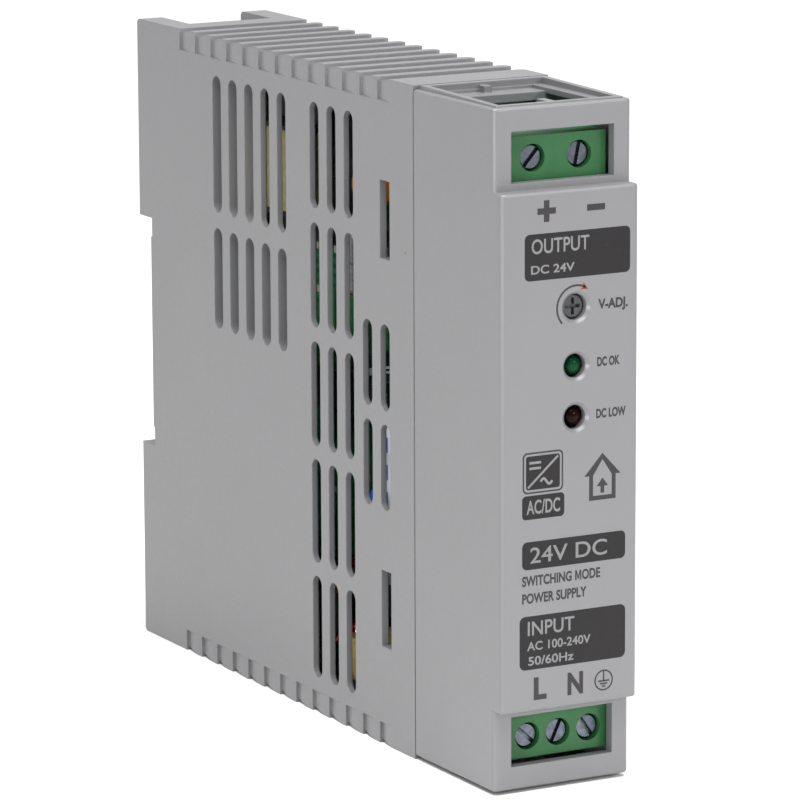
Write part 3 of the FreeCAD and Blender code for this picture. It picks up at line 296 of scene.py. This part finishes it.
def circuit_board():
    """Green solder mask over copper tracks, with tinned pads."""
    shade = Shade("circuit_board", 0.28, Coat_Weight=0.4, Coat_Roughness=0.2)
    mask, track = linear("#1d5b34"), linear("#2f7d45")
    # patches of parallel tracks, some along Y and some along Z, and patches of solid copper
    patch = shade.cells(120, "Color", distance="CHEBYCHEV")
    along_y, along_z = (shade.sum("LESS_THAN", shade.sum("FRACT", shade.sum(
        "MULTIPLY", shade.axis(number), 640.0)), 0.52) for number in (2, 1))
    turned = shade.sum("GREATER_THAN", shade.axis(0, patch), 0.5)
    lanes = shade.sum("ADD", shade.sum("MULTIPLY", turned, along_y), shade.sum(
        "MULTIPLY", shade.sum("SUBTRACT", 1.0, turned), along_z))
    solid = shade.sum("GREATER_THAN", shade.axis(1, patch), 0.62)
    pour = shade.sum("MAXIMUM", lanes, solid)
    tone = shade.mix(pour, mask, track)
    pads = shade.cells(330, "Distance", distance="CHEBYCHEV")
    gate = shade.axis(0, shade.cells(330, "Color", distance="CHEBYCHEV"))
    pad = shade.sum("MULTIPLY", shade.sum("LESS_THAN", pads, 0.17),
                    shade.sum("GREATER_THAN", gate, 0.72))
    tone = shade.mix(pad, tone, linear("#b9b7ad"))
    weave = shade.noise(1100, 2, shade.stretched(1, 1, 0.2))
    height = shade.sum("ADD", shade.sum("MULTIPLY", pour, 0.8), shade.sum("MULTIPLY", weave, 0.2))
    return shade.finish(tone, shade.bump(height, 0.00004, 0.6))


def winding_tape():
    """Polyester tape over wire: the turns show through as ridges, with a lapped end."""
    shade = Shade("yellow_tape", 0.4, Coat_Weight=0.2, Coat_Roughness=0.25)
    colour = linear("#b5a878")
    ridges = shade.sum("SINE", shade.sum("MULTIPLY", shade.axis(2), 9000.0))
    wrinkle = shade.noise(340, 4, shade.stretched(1, 1, 3))
    tone = shade.mix(shade.spread(wrinkle, 0.35, 0.7), scaled(colour, 0.78), colour)
    lap = shade.sum("GREATER_THAN", shade.axis(1), -0.0372)
    tone = shade.mix(shade.sum("MULTIPLY", lap, 0.3), tone, scaled(colour, 0.7))
    height = shade.sum("ADD", shade.sum("MULTIPLY", ridges, 0.2), wrinkle)
    return shade.finish(tone, shade.bump(height, 0.00008, 0.7))


def sleeved_can(name, code, axis, middle, radius, top):
    """Capacitor can: printed sleeve with a polarity stripe, bare scored aluminium at the top."""
    shade = Shade(name, 0.3, Coat_Weight=0.5, Coat_Roughness=0.15)
    colour = linear(code)
    others = [n for n in (0, 1, 2) if n != axis]
    around = shade.radius(others, middle)
    wrinkle = shade.noise(700, 3)
    sleeve = shade.mix(shade.spread(wrinkle, 0.3, 0.7), scaled(colour, 0.8), scaled(colour, 1.2))
    # pale stripe with a row of bars, on the side that looks away from the board
    side = shade.sum("LESS_THAN", shade.axis(others[0]), middle[0])
    across = shade.away(others[1], middle[1])
    stripe = shade.sum("MULTIPLY", side, shade.sum("LESS_THAN", across, 0.22 * radius))
    step = shade.sum("FRACT", shade.sum("MULTIPLY", shade.axis(axis), 240.0))
    bar = shade.sum("MULTIPLY", shade.sum("LESS_THAN", shade.sum(
        "ABSOLUTE", shade.sum("SUBTRACT", step, 0.5)), 0.28),
        shade.sum("LESS_THAN", across, 0.07 * radius))
    printed = shade.mix(bar, linear("#b9bdc6"), colour)
    sleeve = shade.mix(stripe, sleeve, printed)
    end = shade.sum("MULTIPLY", shade.sum("LESS_THAN", shade.away(axis, top), 0.0002),
                    shade.sum("LESS_THAN", around, 0.84 * radius))
    metal = shade.mix(shade.spread(shade.noise(1800, 2), 0.3, 0.7), linear("#696b6d"),
                      linear("#97999b"))
    score = shade.sum("MINIMUM", shade.away(others[0], middle[0]),
                      shade.away(others[1], middle[1]))
    metal = shade.mix(shade.sum("LESS_THAN", score, 0.00016), metal, linear("#4a4b4d"))
    shade.set("Metallic", end)
    height = shade.sum("ADD", shade.sum("MULTIPLY", wrinkle, 0.3), shade.spread(score, 0, 0.0003))
    return shade.finish(shade.mix(end, sleeve, metal), shade.bump(height, 0.00005, 0.5))


def ferrite():
    """Ground ferrite: near-black grain with small bright chips."""
    shade = Shade("ferrite", 0.42, Specular_IOR_Level=0.6)
    grain = shade.noise(2200, 5)
    tone = shade.mix(shade.spread(grain, 0.3, 0.7), linear("#232326"), linear("#3c3c40"))
    chips = shade.sum("LESS_THAN", shade.cells(900), 0.10)
    tone = shade.mix(shade.sum("MULTIPLY", chips, 0.5), tone, linear("#77787c"))
    return shade.finish(tone, shade.bump(grain, 0.00005, 0.7, shade.soft_edges(0.15 * MM)))


def dipped(name, code, mark="#20242c"):
    """Dipped or moulded component: orange-peel gloss and a printed bar."""
    shade = Shade(name, 0.25, Coat_Weight=0.5, Coat_Roughness=0.1)
    colour = linear(code)
    peel = shade.noise(900, 3)
    tone = shade.mix(shade.spread(peel, 0.3, 0.7), scaled(colour, 0.85), scaled(colour, 1.15))
    along = shade.away(2, 0.5, shade.inside)
    across = shade.away(0, 0.45, shade.inside)
    step = shade.sum("FRACT", shade.sum("MULTIPLY", shade.axis(2, shade.inside), 9.0))
    bar = shade.sum("MULTIPLY", shade.sum("LESS_THAN", across, 0.07),
                    shade.sum("LESS_THAN", along, 0.3))
    bar = shade.sum("MULTIPLY", bar, shade.sum("GREATER_THAN", step, 0.4))
    tone = shade.mix(shade.sum("MULTIPLY", bar, 0.8), tone, linear(mark))
    return shade.finish(tone, shade.bump(peel, 0.00008, 0.5, shade.soft_edges(0.2 * MM)))


def enamelled_wire():
    """Copper wire under amber enamel."""
    shade = Shade("copper_wire", 0.22, Metallic=0.9, Coat_Weight=0.8, Coat_Roughness=0.08)
    tone = shade.mix(shade.spread(shade.noise(700, 3), 0.3, 0.7), linear("#8a3d17"),
                     linear("#c4682c"))
    return shade.finish(tone, shade.bump(shade.noise(1600, 2), 0.00001, 0.4))


def ink(name, code):
    """Pad-printed ink: slightly uneven cover over the grain of the case."""
    shade = Shade(name, Specular_IOR_Level=0.22)
    colour = linear(code)
    thin = shade.spread(shade.noise(1700, 4), 0.66, 0.82)
    cloud = shade.spread(shade.noise(120, 3), 0.3, 0.7)
    tone = shade.mix(cloud, scaled(colour, 0.94), scaled(colour, 1.06))
    tone = shade.mix(shade.sum("MULTIPLY", thin, 0.10), tone, linear("#78787a"))
    shade.set("Roughness", shade.spread(shade.noise(1500), 0.3, 0.7, 0.42, 0.55))
    return shade.finish(tone, shade.bump(shade.noise(2600, 3), 0.00003, 0.5))


SLOTS = {
    "case_plastic": case_plastic(),
    "latch_plastic": moulded("latch_plastic", "#35363a", 0.45),
    "spring_steel": drawn_metal("spring_steel", "#b8b9bd", 0.22),
    "circuit_board": circuit_board(),
    "black_plastic": moulded("black_plastic", "#242426", 0.42, 0.08),
    "green_plastic": terminal_green(),
    "tinned_copper": drawn_metal("tinned_copper", "#c9c6bf", 0.3),
    "blue_plastic": moulded("blue_plastic", "#2b5c9e", 0.38, 0.05),
    "grey_plastic": moulded("grey_plastic", "#333436", 0.26, 0.06, 1.5),
    "green_lens": lens("green_lens", "#053a1e", "#03180d"),
    "red_lens": lens("red_lens", "#140302", "#050101"),
    "ferrite": ferrite(),
    "yellow_tape": winding_tape(),
    "copper_wire": enamelled_wire(),
    "aluminium": drawn_metal("aluminium", "#9fa1a4", 0.34, (1, 1, 0.05), 900),
    "black_epoxy": dipped("black_epoxy", "#232427", "#8b8c8e"),
    "nickel_steel": plated("nickel_steel", "#5f646d", 0.2, 0.6),
    "resistor_lacquer": dipped("resistor_lacquer", "#8fa9a4", "#6b3a1e"),
    "blue_epoxy": dipped("blue_epoxy", "#2a5fb0", "#0f1b33"),
    "orange_epoxy": dipped("orange_epoxy", "#d27a1e", "#3a1c08"),
    "brown_plastic": dipped("brown_plastic", "#4a2a1b", "#c9b79f"),
    "yellow_plastic": dipped("yellow_plastic", "#a5914f", "#3c3216"),
}


def can_material(node, code, axis):
    """Sleeve for a can whose axis and size are taken from its box."""
    low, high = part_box(node)
    others = [n for n in (0, 1, 2) if n != axis]
    middle = [(low[n] + high[n]) / 2 for n in others]
    radius = (high[others[1]] - low[others[1]]) / 2
    top = high[axis] if axis == 2 else low[axis]
    return sleeved_can(f"{node}_sleeve", code, axis, middle, radius, top)


OWN = {
    "bulk_capacitor": can_material("bulk_capacitor", "#274f94", 2),
    "output_capacitor_a": can_material("output_capacitor_a", "#26282e", 0),
    "output_capacitor_b": can_material("output_capacitor_b", "#26282e", 0),
    "supply_capacitor": can_material("supply_capacitor", "#26282e", 0),
    "output_inductor": can_material("output_inductor", "#1d1f22", 0),
}
for part in frame["record"]["subparts"]:
    label = part["node"]
    for holder in NODES[label].material_slots:
        holder.material = OWN.get(label) or SLOTS[part["material_slot"]]

DARK_INK = ink("dark_ink", "#1a181a")
MARK_INK = ink("mark_ink", "#2e2b2d")
RED_INK = ink("red_ink", "#6e2a1c")
BARE = ink("bare_letter", "#6e6e6f")


# ---------------------------------------------------------------- making pieces
def piece(name, mesh, material, body="root"):
    """Show a mesh as a piece that rides on a CAD body."""
    mesh.materials.clear()
    mesh.materials.append(material)
    thing = bpy.data.objects.new(name, mesh)
    bpy.context.scene.collection.objects.link(thing)
    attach(thing, body)
    return thing


def mesh_of(curve):
    """The mesh that a curve or text comes to."""
    holder = bpy.data.objects.new("temporary", curve)
    bpy.context.scene.collection.objects.link(holder)
    bpy.context.view_layer.update()
    graph = bpy.context.evaluated_depsgraph_get()
    mesh = bpy.data.meshes.new_from_object(holder.evaluated_get(graph), depsgraph=graph)
    bpy.data.objects.remove(holder)
    return mesh


# Flat graphics are drawn in (x, z) millimetres on the label face and stand a hair proud of it.
FACE_Y = cad_low.y
INK_THICK = 0.012 * MM


def on_face(mesh, layer=0):
    """Turn a flat mesh so that it lies on the label face, in its layer of ink."""
    mesh.transform(Matrix.Rotation(math.radians(90), 4, "X"))
    mesh.transform(Matrix.Translation((0, FACE_Y - layer * INK_THICK, 0)))
    return mesh


def flat_mesh(loops):
    """Filled outline in millimetres; a loop inside another is a hole."""
    curve = bpy.data.curves.new("outline", "CURVE")
    curve.dimensions = "2D"
    curve.fill_mode = "BOTH"
    curve.extrude = INK_THICK
    for loop in loops:
        spline = curve.splines.new("POLY")
        spline.points.add(len(loop) - 1)
        for point, (x, z) in zip(spline.points, loop):
            point.co = (x * MM, z * MM, 0, 1)
        spline.use_cyclic_u = True
    return mesh_of(curve)


def printed(name, loops, material=MARK_INK, layer=0):
    return piece(name, on_face(flat_mesh(loops), layer), material)


def bar(left, low, right, high):
    return [(left, low), (right, low), (right, high), (left, high)]


def rounded(left, low, right, high, corner, steps=8):
    loop = []
    for x, z, first in ((right - corner, high - corner, 0), (left + corner, high - corner, 90),
                        (left + corner, low + corner, 180), (right - corner, low + corner, 270)):
        for n in range(steps + 1):
            angle = math.radians(first + 90 * n / steps)
            loop.append((x + corner * math.cos(angle), z + corner * math.sin(angle)))
    return loop


def stroke(points, width):
    """Outline of a line of the given width through the points."""
    left, right = [], []
    for n, (x, z) in enumerate(points):
        before, after = points[max(n - 1, 0)], points[min(n + 1, len(points) - 1)]
        along = Vector((after[0] - before[0], after[1] - before[1])).normalized() * width / 2
        left.append((x - along.y, z + along.x))
        right.append((x + along.y, z - along.x))
    return left + right[::-1]


def arc(x, z, radius, start, end, steps=40):
    return [(x + radius * math.cos(math.radians(start + (end - start) * n / steps)),
             z + radius * math.sin(math.radians(start + (end - start) * n / steps)))
            for n in range(steps + 1)]


def lettering(name, text, left, right, middle, cap, material=MARK_INK, layer=0, bold=0.02):
    """A line of text fitted between two edges, its capitals cap high about the middle."""
    curve = bpy.data.curves.new(name, "FONT")
    curve.body = text
    curve.extrude = INK_THICK
    curve.offset = bold
    curve.space_character = 1.02
    mesh = mesh_of(curve)
    xs = [v.co.x for v in mesh.vertices]
    capital = bpy.data.curves.new("capital", "FONT")
    capital.body = "H"
    height = max(v.co.y for v in mesh_of(capital).vertices)
    across = (right - left) * MM / (max(xs) - min(xs))
    up = cap * MM / height
    mesh.transform(Matrix.Translation((-min(xs), -height / 2, 0)))
    mesh.transform(Matrix.Diagonal((across, up, 1, 1)))
    mesh.transform(Matrix.Translation((left * MM, middle * MM, 0)))
    return piece(name, on_face(mesh, layer), material)


# ---------------------------------------------------------------- front graphics
printed("mark_plus", [[(-4.42, 33.2), (-3.52, 33.2), (-3.52, 34.3), (-2.47, 34.3), (-2.47, 35.2),
                       (-3.52, 35.2), (-3.52, 36.3), (-4.42, 36.3), (-4.42, 35.2), (-5.47, 35.2),
                       (-5.47, 34.3), (-4.42, 34.3)]])
printed("mark_minus", [bar(2.62, 34.24, 5.58, 35.16)])

printed("badge_output", [rounded(-7.53, 24.95, 9.75, 31.6, 0.8)], DARK_INK)
lettering("text_output", "OUTPUT", -6.4, 3.0, 29.8, 2.0, BARE, 1, 0.012)
lettering("text_output_rating", "DC 24V", -6.5, 0.6, 26.5, 1.15, BARE, 1)

TRIM_X, TRIM_Z, ARC = 0.9, 20.6, 3.15
printed("mark_turn", [stroke(arc(TRIM_X, TRIM_Z, ARC, 223, 62), 0.28)])
tip = Vector(arc(TRIM_X, TRIM_Z, ARC, 52, 52, 1)[0])
back = Vector(arc(TRIM_X, TRIM_Z, ARC, 74, 74, 1)[0])
side = Vector((tip.y - back.y, back.x - tip.x)).normalized() * 0.55
printed("mark_turn_arrow", [[tuple(tip), tuple(back + side), tuple(back * 0.7 + tip * 0.3),
                             tuple(back - side)]], RED_INK)
lettering("text_adjust", "V-ADJ.", 4.5, 9.4, 20.7, 1.3, bold=0.042)
lettering("text_dc_ok", "DC OK", 4.36, 8.1, 12.4, 1.2, bold=0.042)
lettering("text_dc_low", "DC LOW", 4.23, 9.13, 4.9, 1.2, bold=0.042)

# converter symbol: framed square with a diagonal, a wave for AC and two bars for DC
printed("converter_frame", [rounded(-7.84, -5.61, -1.2, 0.35, 0.75),
                            rounded(-7.60, -5.37, -1.44, 0.11, 0.58)])
printed("converter_field", [rounded(-7.30, -5.07, -1.74, -0.19, 0.4)], DARK_INK)
printed("converter_slash", [stroke([(-7.0, -4.77), (-2.04, -0.49)], 0.32)], BARE, 1)
wave = [(-4.9 + 1.9 * (n / 24), -4.0 + 0.42 * math.sin(2 * math.pi * n / 24)) for n in range(25)]
printed("converter_wave", [stroke(wave, 0.36)], BARE, 1)
printed("converter_bars", [bar(-6.75, -1.35, -4.85, -0.99), bar(-6.75, -2.15, -4.85, -1.79)],
        BARE, 1)
printed("badge_type", [rounded(-7.92, -9.35, -1.0, -5.9, 0.6)], DARK_INK)
lettering("text_type", "AC/DC", -7.2, -1.7, -7.6, 1.9, BARE, 1)

# indoor-use symbol: a house outline round a small arrow
house = [(2.3, -4.1), (5.3, -0.9), (8.3, -4.1), (7.5, -4.1), (7.5, -7.7), (3.1, -7.7), (3.1, -4.1)]
printed("indoor_house", [house, [(3.75, -4.1), (5.3, -1.8), (6.85, -4.1), (6.85, -7.05),
                                 (3.75, -7.05)]])
printed("indoor_arrow", [[(4.35, -5.7), (5.3, -4.5), (6.25, -5.7), (5.6, -5.7), (5.6, -6.7),
                          (5.0, -6.7), (5.0, -5.7)]])

printed("badge_rating", [rounded(-7.92, -16.65, 9.14, -12.6, 0.8)], DARK_INK)
lettering("text_rating", "24V DC", -6.6, 6.1, -14.62, 2.2, BARE, 1, 0.01)
lettering("text_switching", "SWITCHING", -7.92, 0.26, -18.3, 1.35, bold=0.034)
printed("text_mode_m", [[(0.83, -19.03), (0.83, -17.57), (1.08, -17.57), (1.33, -18.51),
                         (1.58, -17.57), (1.83, -17.57), (1.83, -19.03), (1.61, -19.03),
                         (1.61, -18.05), (1.39, -18.93), (1.27, -18.93), (1.05, -18.05),
                         (1.05, -19.03)]])
lettering("text_mode_ode", "ODE", 1.95, 4.98, -18.3, 1.35, bold=0.034)
lettering("text_supply", "POWER SUPPLY", -7.92, 2.74, -20.85, 1.35, bold=0.034)

printed("badge_input", [rounded(-8.33, -31.3, 9.2, -23.45, 0.9)], DARK_INK)
lettering("text_input", "INPUT", -7.0, 0.7, -25.27, 2.0, BARE, 1, 0.012)
lettering("text_input_rating", "AC 100-240V", -7.1, 3.4, -27.87, 1.2, BARE, 1)
lettering("text_input_frequency", "50/60Hz", -6.9, 0.6, -30.05, 1.2, BARE, 1)

lettering("text_live", "L", -6.0, -3.86, -34.2, 2.95, bold=0.045)
lettering("text_neutral", "N", -0.4, 2.2, -34.2, 2.95, bold=0.045)
EARTH = (5.63, -34.34)
printed("earth_ring", [arc(*EARTH, 1.55, 0, 360, 48)[:-1], arc(*EARTH, 1.33, 0, 360, 48)[:-1]])
printed("earth_stem", [bar(EARTH[0] - 0.12, EARTH[1] - 0.1, EARTH[0] + 0.12, EARTH[1] + 1.4)])
for number, (half, drop) in enumerate(((0.95, 0.1), (0.6, 0.5), (0.28, 0.9))):
    printed(f"earth_bar_{number + 1}", [bar(EARTH[0] - half, EARTH[1] - drop - 0.13,
                                            EARTH[0] + half, EARTH[1] - drop + 0.11)])


# ---------------------------------------------------------------- wound and soldered detail
def wire_mesh(points, radius):
    """Round wire along points given in metres."""
    curve = bpy.data.curves.new("wire", "CURVE")
    curve.dimensions = "3D"
    curve.bevel_depth = radius
    curve.bevel_resolution = 3
    curve.use_fill_caps = True
    spline = curve.splines.new("POLY")
    spline.points.add(len(points) - 1)
    for point, place in zip(spline.points, points):
        point.co = (*place, 1)
    mesh = mesh_of(curve)
    for face in mesh.polygons:
        face.use_smooth = True
    return mesh


def latch_spring():
    """Compression spring with closed ends, wound to fill the box of the CAD spring."""
    low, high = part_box("latch_spring")
    middle = (low + high) / 2
    wire = 0.2 * MM
    radius = (high.x - low.x) / 2 - wire
    steps, turns, closed = 240, 8, 0.9
    points = []
    for n in range(steps + 1):
        turn = turns * n / steps
        # the pitch opens after the first turn and closes before the last
        free = min(max((turn - closed) / (turns - 2 * closed), 0), 1)
        rise = min(turn, closed) + max(turn - (turns - closed), 0)
        level = low.z + wire + rise * 2 * wire + free * (
            high.z - low.z - 2 * wire - 4 * wire * closed)
        angle = 2 * math.pi * turn
        points.append((middle.x + radius * math.cos(angle), middle.y + radius * math.sin(angle),
                       level))
    spring = piece("latch_spring_wire", wire_mesh(points, wire), SLOTS["spring_steel"])
    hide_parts("latch_spring")
    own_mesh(spring)


def choke_windings():
    """Two windings of enamelled wire, each round its half of the ring."""
    low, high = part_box("emi_choke_core")
    wound_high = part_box("emi_choke_windings")[1]
    middle = (low + high) / 2
    outer = (high.z - low.z) / 2
    inner = 3.2 * MM
    wire = (wound_high.y - high.y) / 2 - 0.02 * MM
    turns, steps = 6, 22
    for side, first in (("upper", 36), ("lower", 216)):
        points = []
        for n in range(turns * steps + 1):
            share = n / (turns * steps)
            angle = math.radians(first + 108 * share)
            around = 2 * math.pi * n / steps
            # a rounded rectangle round the section of the ring
            u = math.copysign(abs(math.cos(around)) ** 0.42, math.cos(around))
            v = math.copysign(abs(math.sin(around)) ** 0.42, math.sin(around))
            reach = (outer + inner) / 2 + u * ((outer - inner) / 2 + wire)
            depth = middle.y + v * ((high.y - low.y) / 2 + wire)
            points.append((middle.x + reach * math.cos(angle), depth,
                           middle.z + reach * math.sin(angle)))
        coil = piece(f"choke_winding_{side}", wire_mesh(points, wire), SLOTS["copper_wire"])
        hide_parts("emi_choke_windings")


def solder_joints():
    """Tinned cones on the far face of the main board, one round each leg."""
    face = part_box("main_board")[1].x
    legs = [(-70, -26.5), (-66, -26.5), (-50, -42), (-50, -30), (-44, -42), (-44, -30),
            (-81, -42.5), (-81, -37.5), (-74, -42.5), (-74, -37.5), (-57, -22.5), (-57, -17.5),
            (-53, 27.5), (-53, 32.5), (-62.5, 17.5), (-62.5, 22.5), (-74, 17.5), (-74, 22.5),
            (-58, 2), (-58, 4), (-72, 33), (-72, 39), (-57.5, 36.9), (-57.5, 39.5), (-57.5, 42.1),
            (-15.5, -22.5), (-15.5, -20), (-15.5, -17.5), (-90, -40), (-84, -40), (-64, -42),
            (-57, -42), (-36, -43), (-36, -39), (-36, -36), (-36, -32)]
    legs += [(-94, 2.54 * n) for n in range(-3, 4)]
    legs += [(y, z) for y in (-45, -42, -39, -36, -33) for z in (24.6, 37.8)]
    legs += [(y, z) for y in (-49, -46.5) for z in (-7, -2.5)]
    legs += [(y, z) for y in (-37, -34.5, -32, -29.5) for z in (-7.4, -2.2)]
    mesh = bpy.data.meshes.new("solder")
    work = bmesh.new()
    profile = ((1.0, 0.0), (0.82, 0.14), (0.55, 0.36), (0.38, 0.66), (0.3, 1.0), (0.2, 1.18))
    sides = 12
    chance = random.Random(5)
    for y, z in legs:
        size = chance.uniform(0.85, 1.1)
        rows = []
        for reach, height in profile:
            rows.append([work.verts.new((
                face + height * size * MM,
                (y + reach * size * math.cos(2 * math.pi * n / sides)) * MM,
                (z + reach * size * math.sin(2 * math.pi * n / sides)) * MM))
                for n in range(sides)])
        for here, there in zip(rows, rows[1:]):
            for n in range(sides):
                work.faces.new((here[n], here[(n + 1) % sides], there[(n + 1) % sides], there[n]))
        work.faces.new(rows[-1])
        work.faces.new(rows[0][::-1])
    for face_made in work.faces:
        face_made.smooth = True
    work.normal_update()
    work.to_mesh(mesh)
    work.free()
    solder = Shade("solder", 0.2, Metallic=1.0)
    tone = solder.mix(solder.spread(solder.noise(1200, 3), 0.35, 0.7), linear("#8f9092"),
                      linear("#cfd0d0"))
    piece("solder_joints", mesh, solder.finish(tone, solder.bump(solder.noise(1500), 0.00003)))


def rounded_block(work, centre, size, soft):
    """A block with rounded edges, added to a bmesh."""
    made = bmesh.ops.create_cube(work, size=1.0)
    bmesh.ops.scale(work, verts=made["verts"], vec=[s * MM for s in size])
    edges = {edge for vertex in made["verts"] for edge in vertex.link_edges}
    bevelled = bmesh.ops.bevel(work, geom=list(edges), offset=soft * MM, segments=2,
                               profile=0.7, affect="EDGES")
    corners = {v for face in bevelled["faces"] for v in face.verts}
    corners |= {v for v in made["verts"] if v.is_valid}
    bmesh.ops.translate(work, verts=list(corners), vec=[c * MM for c in centre])


CHIPS = (
    # name, colour, height and (y, z) places in millimetres
    ("chip_capacitors", "#a8865c", 0.8,
     ((-60, 12), (-57, 12), (-66, 8), (-41, -14), (-38, -14), (-80, 10), (-80, 14), (-26, 4),
      (-23, 4), (-70, -5))),
    ("chip_resistors", "#1c1d20", 0.45,
     ((-62, -14), (-59, -14), (-56, -14), (-30, -22), (-27, -22), (-68, 26), (-65, 26), (-84, -6),
      (-84, -10), (-48, 8), (-45, 8), (-76, -22))),
)


def chip_parts():
    """Small surface-mounted parts on the far face of the main board."""
    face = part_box("main_board")[1].x / MM
    chance = random.Random(11)
    for label, code, tall, places in CHIPS:
        mesh = bpy.data.meshes.new(label)
        work = bmesh.new()
        for y, z in places:
            wide, long = (1.3, 2.1) if chance.random() < 0.5 else (2.1, 1.3)
            rounded_block(work, (face + tall / 2, y, z), (tall, wide, long), 0.12)
        work.to_mesh(mesh)
        work.free()
        shade = Shade(f"{label}_body", 0.4)
        tone = shade.mix(shade.spread(shade.noise(1500, 3), 0.3, 0.7), scaled(linear(code), 0.8),
                         scaled(linear(code), 1.2))
        made = shade.finish(tone, shade.bump(shade.noise(2200), 0.00002))
        piece(label, mesh, made)


latch_spring()
choke_windings()
solder_joints()
chip_parts()


# ---------------------------------------------------------------- floor, light and camera
def make_floor():
    half, steps = 4.0, 24
    mesh = bpy.data.meshes.new("floor")
    work = bmesh.new()
    bmesh.ops.create_grid(work, x_segments=steps, y_segments=steps, size=half)
    work.to_mesh(mesh)
    work.free()
    shade = Shade("floor_with_painted_shade", 0.75, Specular_IOR_Level=0.2)
    # painted shade: this darker grey is the floor round the part
    tone = shade.mix(shade.noise(3, 2), linear("#c9c9c8"), linear("#cfcfce"))
    # painted shade and painted light: the floor is darker round the part, whiter in a painted pool
    # of light in front of the part, and whiter far away from it
    pale = linear("#f6f6f5")
    from_painted_light_patch = shade.radius((0, 1), (0.07, -0.2))
    tone = shade.mix(shade.spread(from_painted_light_patch, 0.08, 0.2), pale, tone)
    from_part = shade.radius((0, 1), (0, 0))
    tone = shade.mix(shade.spread(from_part, 0.3, 1.0), tone, pale)
    mesh.materials.append(shade.finish(tone))
    floor = bpy.data.objects.new("floor", mesh)
    floor.location.z = cad_low.z
    bpy.context.scene.collection.objects.link(floor)


def area_light(name, place, target, power, wide, tall):
    lamp = bpy.data.lights.new(name, "AREA")
    lamp.shape = "RECTANGLE"
    lamp.size, lamp.size_y = wide, tall
    lamp.energy = power
    thing = bpy.data.objects.new(name, lamp)
    thing.location = place
    thing.rotation_mode = "QUATERNION"
    thing.rotation_quaternion = (Vector(target) - Vector(place)).to_track_quat("-Z", "Y")
    bpy.context.scene.collection.objects.link(thing)


def make_camera():
    lens_data = bpy.data.cameras.new("camera")
    lens_data.lens = 227.92
    lens_data.sensor_width = 36
    lens_data.clip_start, lens_data.clip_end = 0.02, 20
    camera = bpy.data.objects.new("camera", lens_data)
    place, target = Vector((-0.3585, -0.7188, 0.14875)), Vector((0.0034, -0.0558, -0.0029))
    camera.location = place
    camera.rotation_mode = "QUATERNION"
    roll = Quaternion((0, 0, 1), math.radians(-0.25))
    camera.rotation_quaternion = (target - place).to_track_quat("-Z", "Y") @ roll
    bpy.context.scene.collection.objects.link(camera)
    bpy.context.scene.camera = camera


make_floor()
MIDDLE = (0, -0.055, 0)
area_light("light_top", (-0.1, -0.25, 0.95), MIDDLE, 25.5, 0.9, 0.9)
area_light("light_front", (0.5, -1.05, 0.42), MIDDLE, 3.4, 0.12, 0.12)
area_light("light_side", (-1.1, -0.35, 0.35), MIDDLE, 0.2, 0.7, 0.7)
area_light("light_edge", (-0.72, -0.5, 0.03), MIDDLE, 2.8, 0.05, 0.12)
world = bpy.data.worlds.new("studio")
world.use_nodes = True
sky = world.node_tree.nodes["Background"]
sky.inputs["Color"].default_value = (1.0, 1.0, 1.0, 1.0)
sky.inputs["Strength"].default_value = 0.62
bpy.context.scene.world = world
bpy.context.scene.view_settings.view_transform = "Standard"
make_camera()
